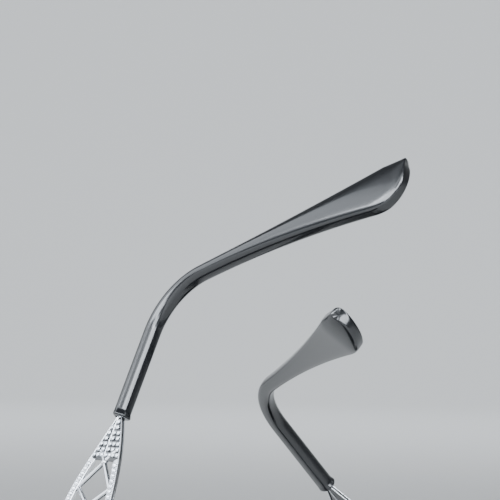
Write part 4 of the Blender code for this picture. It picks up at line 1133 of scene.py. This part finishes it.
def add_room_light():
    """Dim even light from all around."""
    world = bpy.data.worlds.new("dim_room")
    world.use_nodes = True
    background = world.node_tree.nodes["Background"]
    feed(world.node_tree, background, {"Color": linear("d9dcdf"), "Strength": ROOM_STRENGTH})
    bpy.context.scene.world = world


def add_camera():
    """Camera fitted to the outlines of both tips."""
    right = math.cos(ROLL) * RIGHT - math.sin(ROLL) * UP
    up = math.sin(ROLL) * RIGHT + math.cos(ROLL) * UP
    data = bpy.data.cameras.new("camera")
    data.sensor_width = SENSOR_WIDTH
    data.lens = FOCAL_PIXELS * SENSOR_WIDTH / IMAGE_PIXELS
    data.clip_start, data.clip_end = 0.01, 50
    obj = new_object("camera", data)
    put_at(obj, right, up, BACK, AIM + DISTANCE * BACK - SHIFT_RIGHT * right - SHIFT_UP * up)
    bpy.context.scene.camera = obj


# Assembly

def dress_side(label, side, finishes):
    """Adds one side's pieces. Those of the temple take its fold, and the others are mirrored."""
    def add(name, part, slot, node_name, body="front", sharp=PLAIN_SHARP):
        folded = body == "temple"
        part = moved(part, lambda points: to_row(points, side)) if folded else mirrored(part, side)
        body = body if body == "front" else f"{label}_{body}"
        name, node_name = f"{label}_{name}", f"{label}_{node_name}"
        add_piece(name, part, finishes[slot], body, node_name, sharp)

    add("smoke_lens", lens(), "smoke_lens", "lens")
    add("leaf", front_hinge(), "hinge_steel", "front_hinge")
    add("pin", hinge_pin(), "hinge_steel", "hinge_screw")
    for word, level in (("upper", 1), ("lower", -1)):
        stones, settings = stones_and_settings(level)
        add(f"{word}_screw", leaf_screw(level), "hinge_steel", f"{word}_leaf_screw")
        add(f"{word}_crystals", stones, "clear_stones", f"{word}_stones", "temple", CUT_SHARP)
        add(f"{word}_settings", settings, "silver_arm", f"{word}_stones", "temple")
    add("fine_temple_hinge", temple_hinge(), "hinge_steel", "temple_hinge", "temple")
    add("fine_arm", arm(), "silver_arm", "arm", "temple")
    add("fine_ground", pave_ground(), "tip_black", "arm", "temple")
    add("fine_tip", tip(), "tip_black", "tip", "temple")
    add("pad_wire", pad_arm(), "hinge_steel", "pad_arm")
    add("pad_pin", pad_screw(), "hinge_steel", "pad_screw")
    add("soft_pad", nose_pad(), "silicone_pad", "nose_pad", "pad", ROUND_SHARP)


def dress():
    """Makes every piece in the finish of its slot, on its body."""
    finishes = {"frame_black": polished_acetate("polished_black_acetate", "0b0b0c", 0.14),
                "tip_black": polished_acetate("polished_black_tip", "101113", 0.2),
                "silver_arm": plated_silver(), "hinge_steel": satin_steel(),
                "clear_stones": cut_crystal(), "smoke_lens": smoke_lens(),
                "silicone_pad": clear_silicone()}
    add_piece("front_shell", front_frame(), finishes["frame_black"], "front",
              "front_frame", PLAIN_SHARP)
    for label, side in SIDES:
        dress_side(label, side, finishes)


dress()
add_stage()
for row in SOFT_BOXES:
    add_light(*row)
add_light(*WALL_LIGHT, aim=WALL_AIM)
add_room_light()
add_camera()
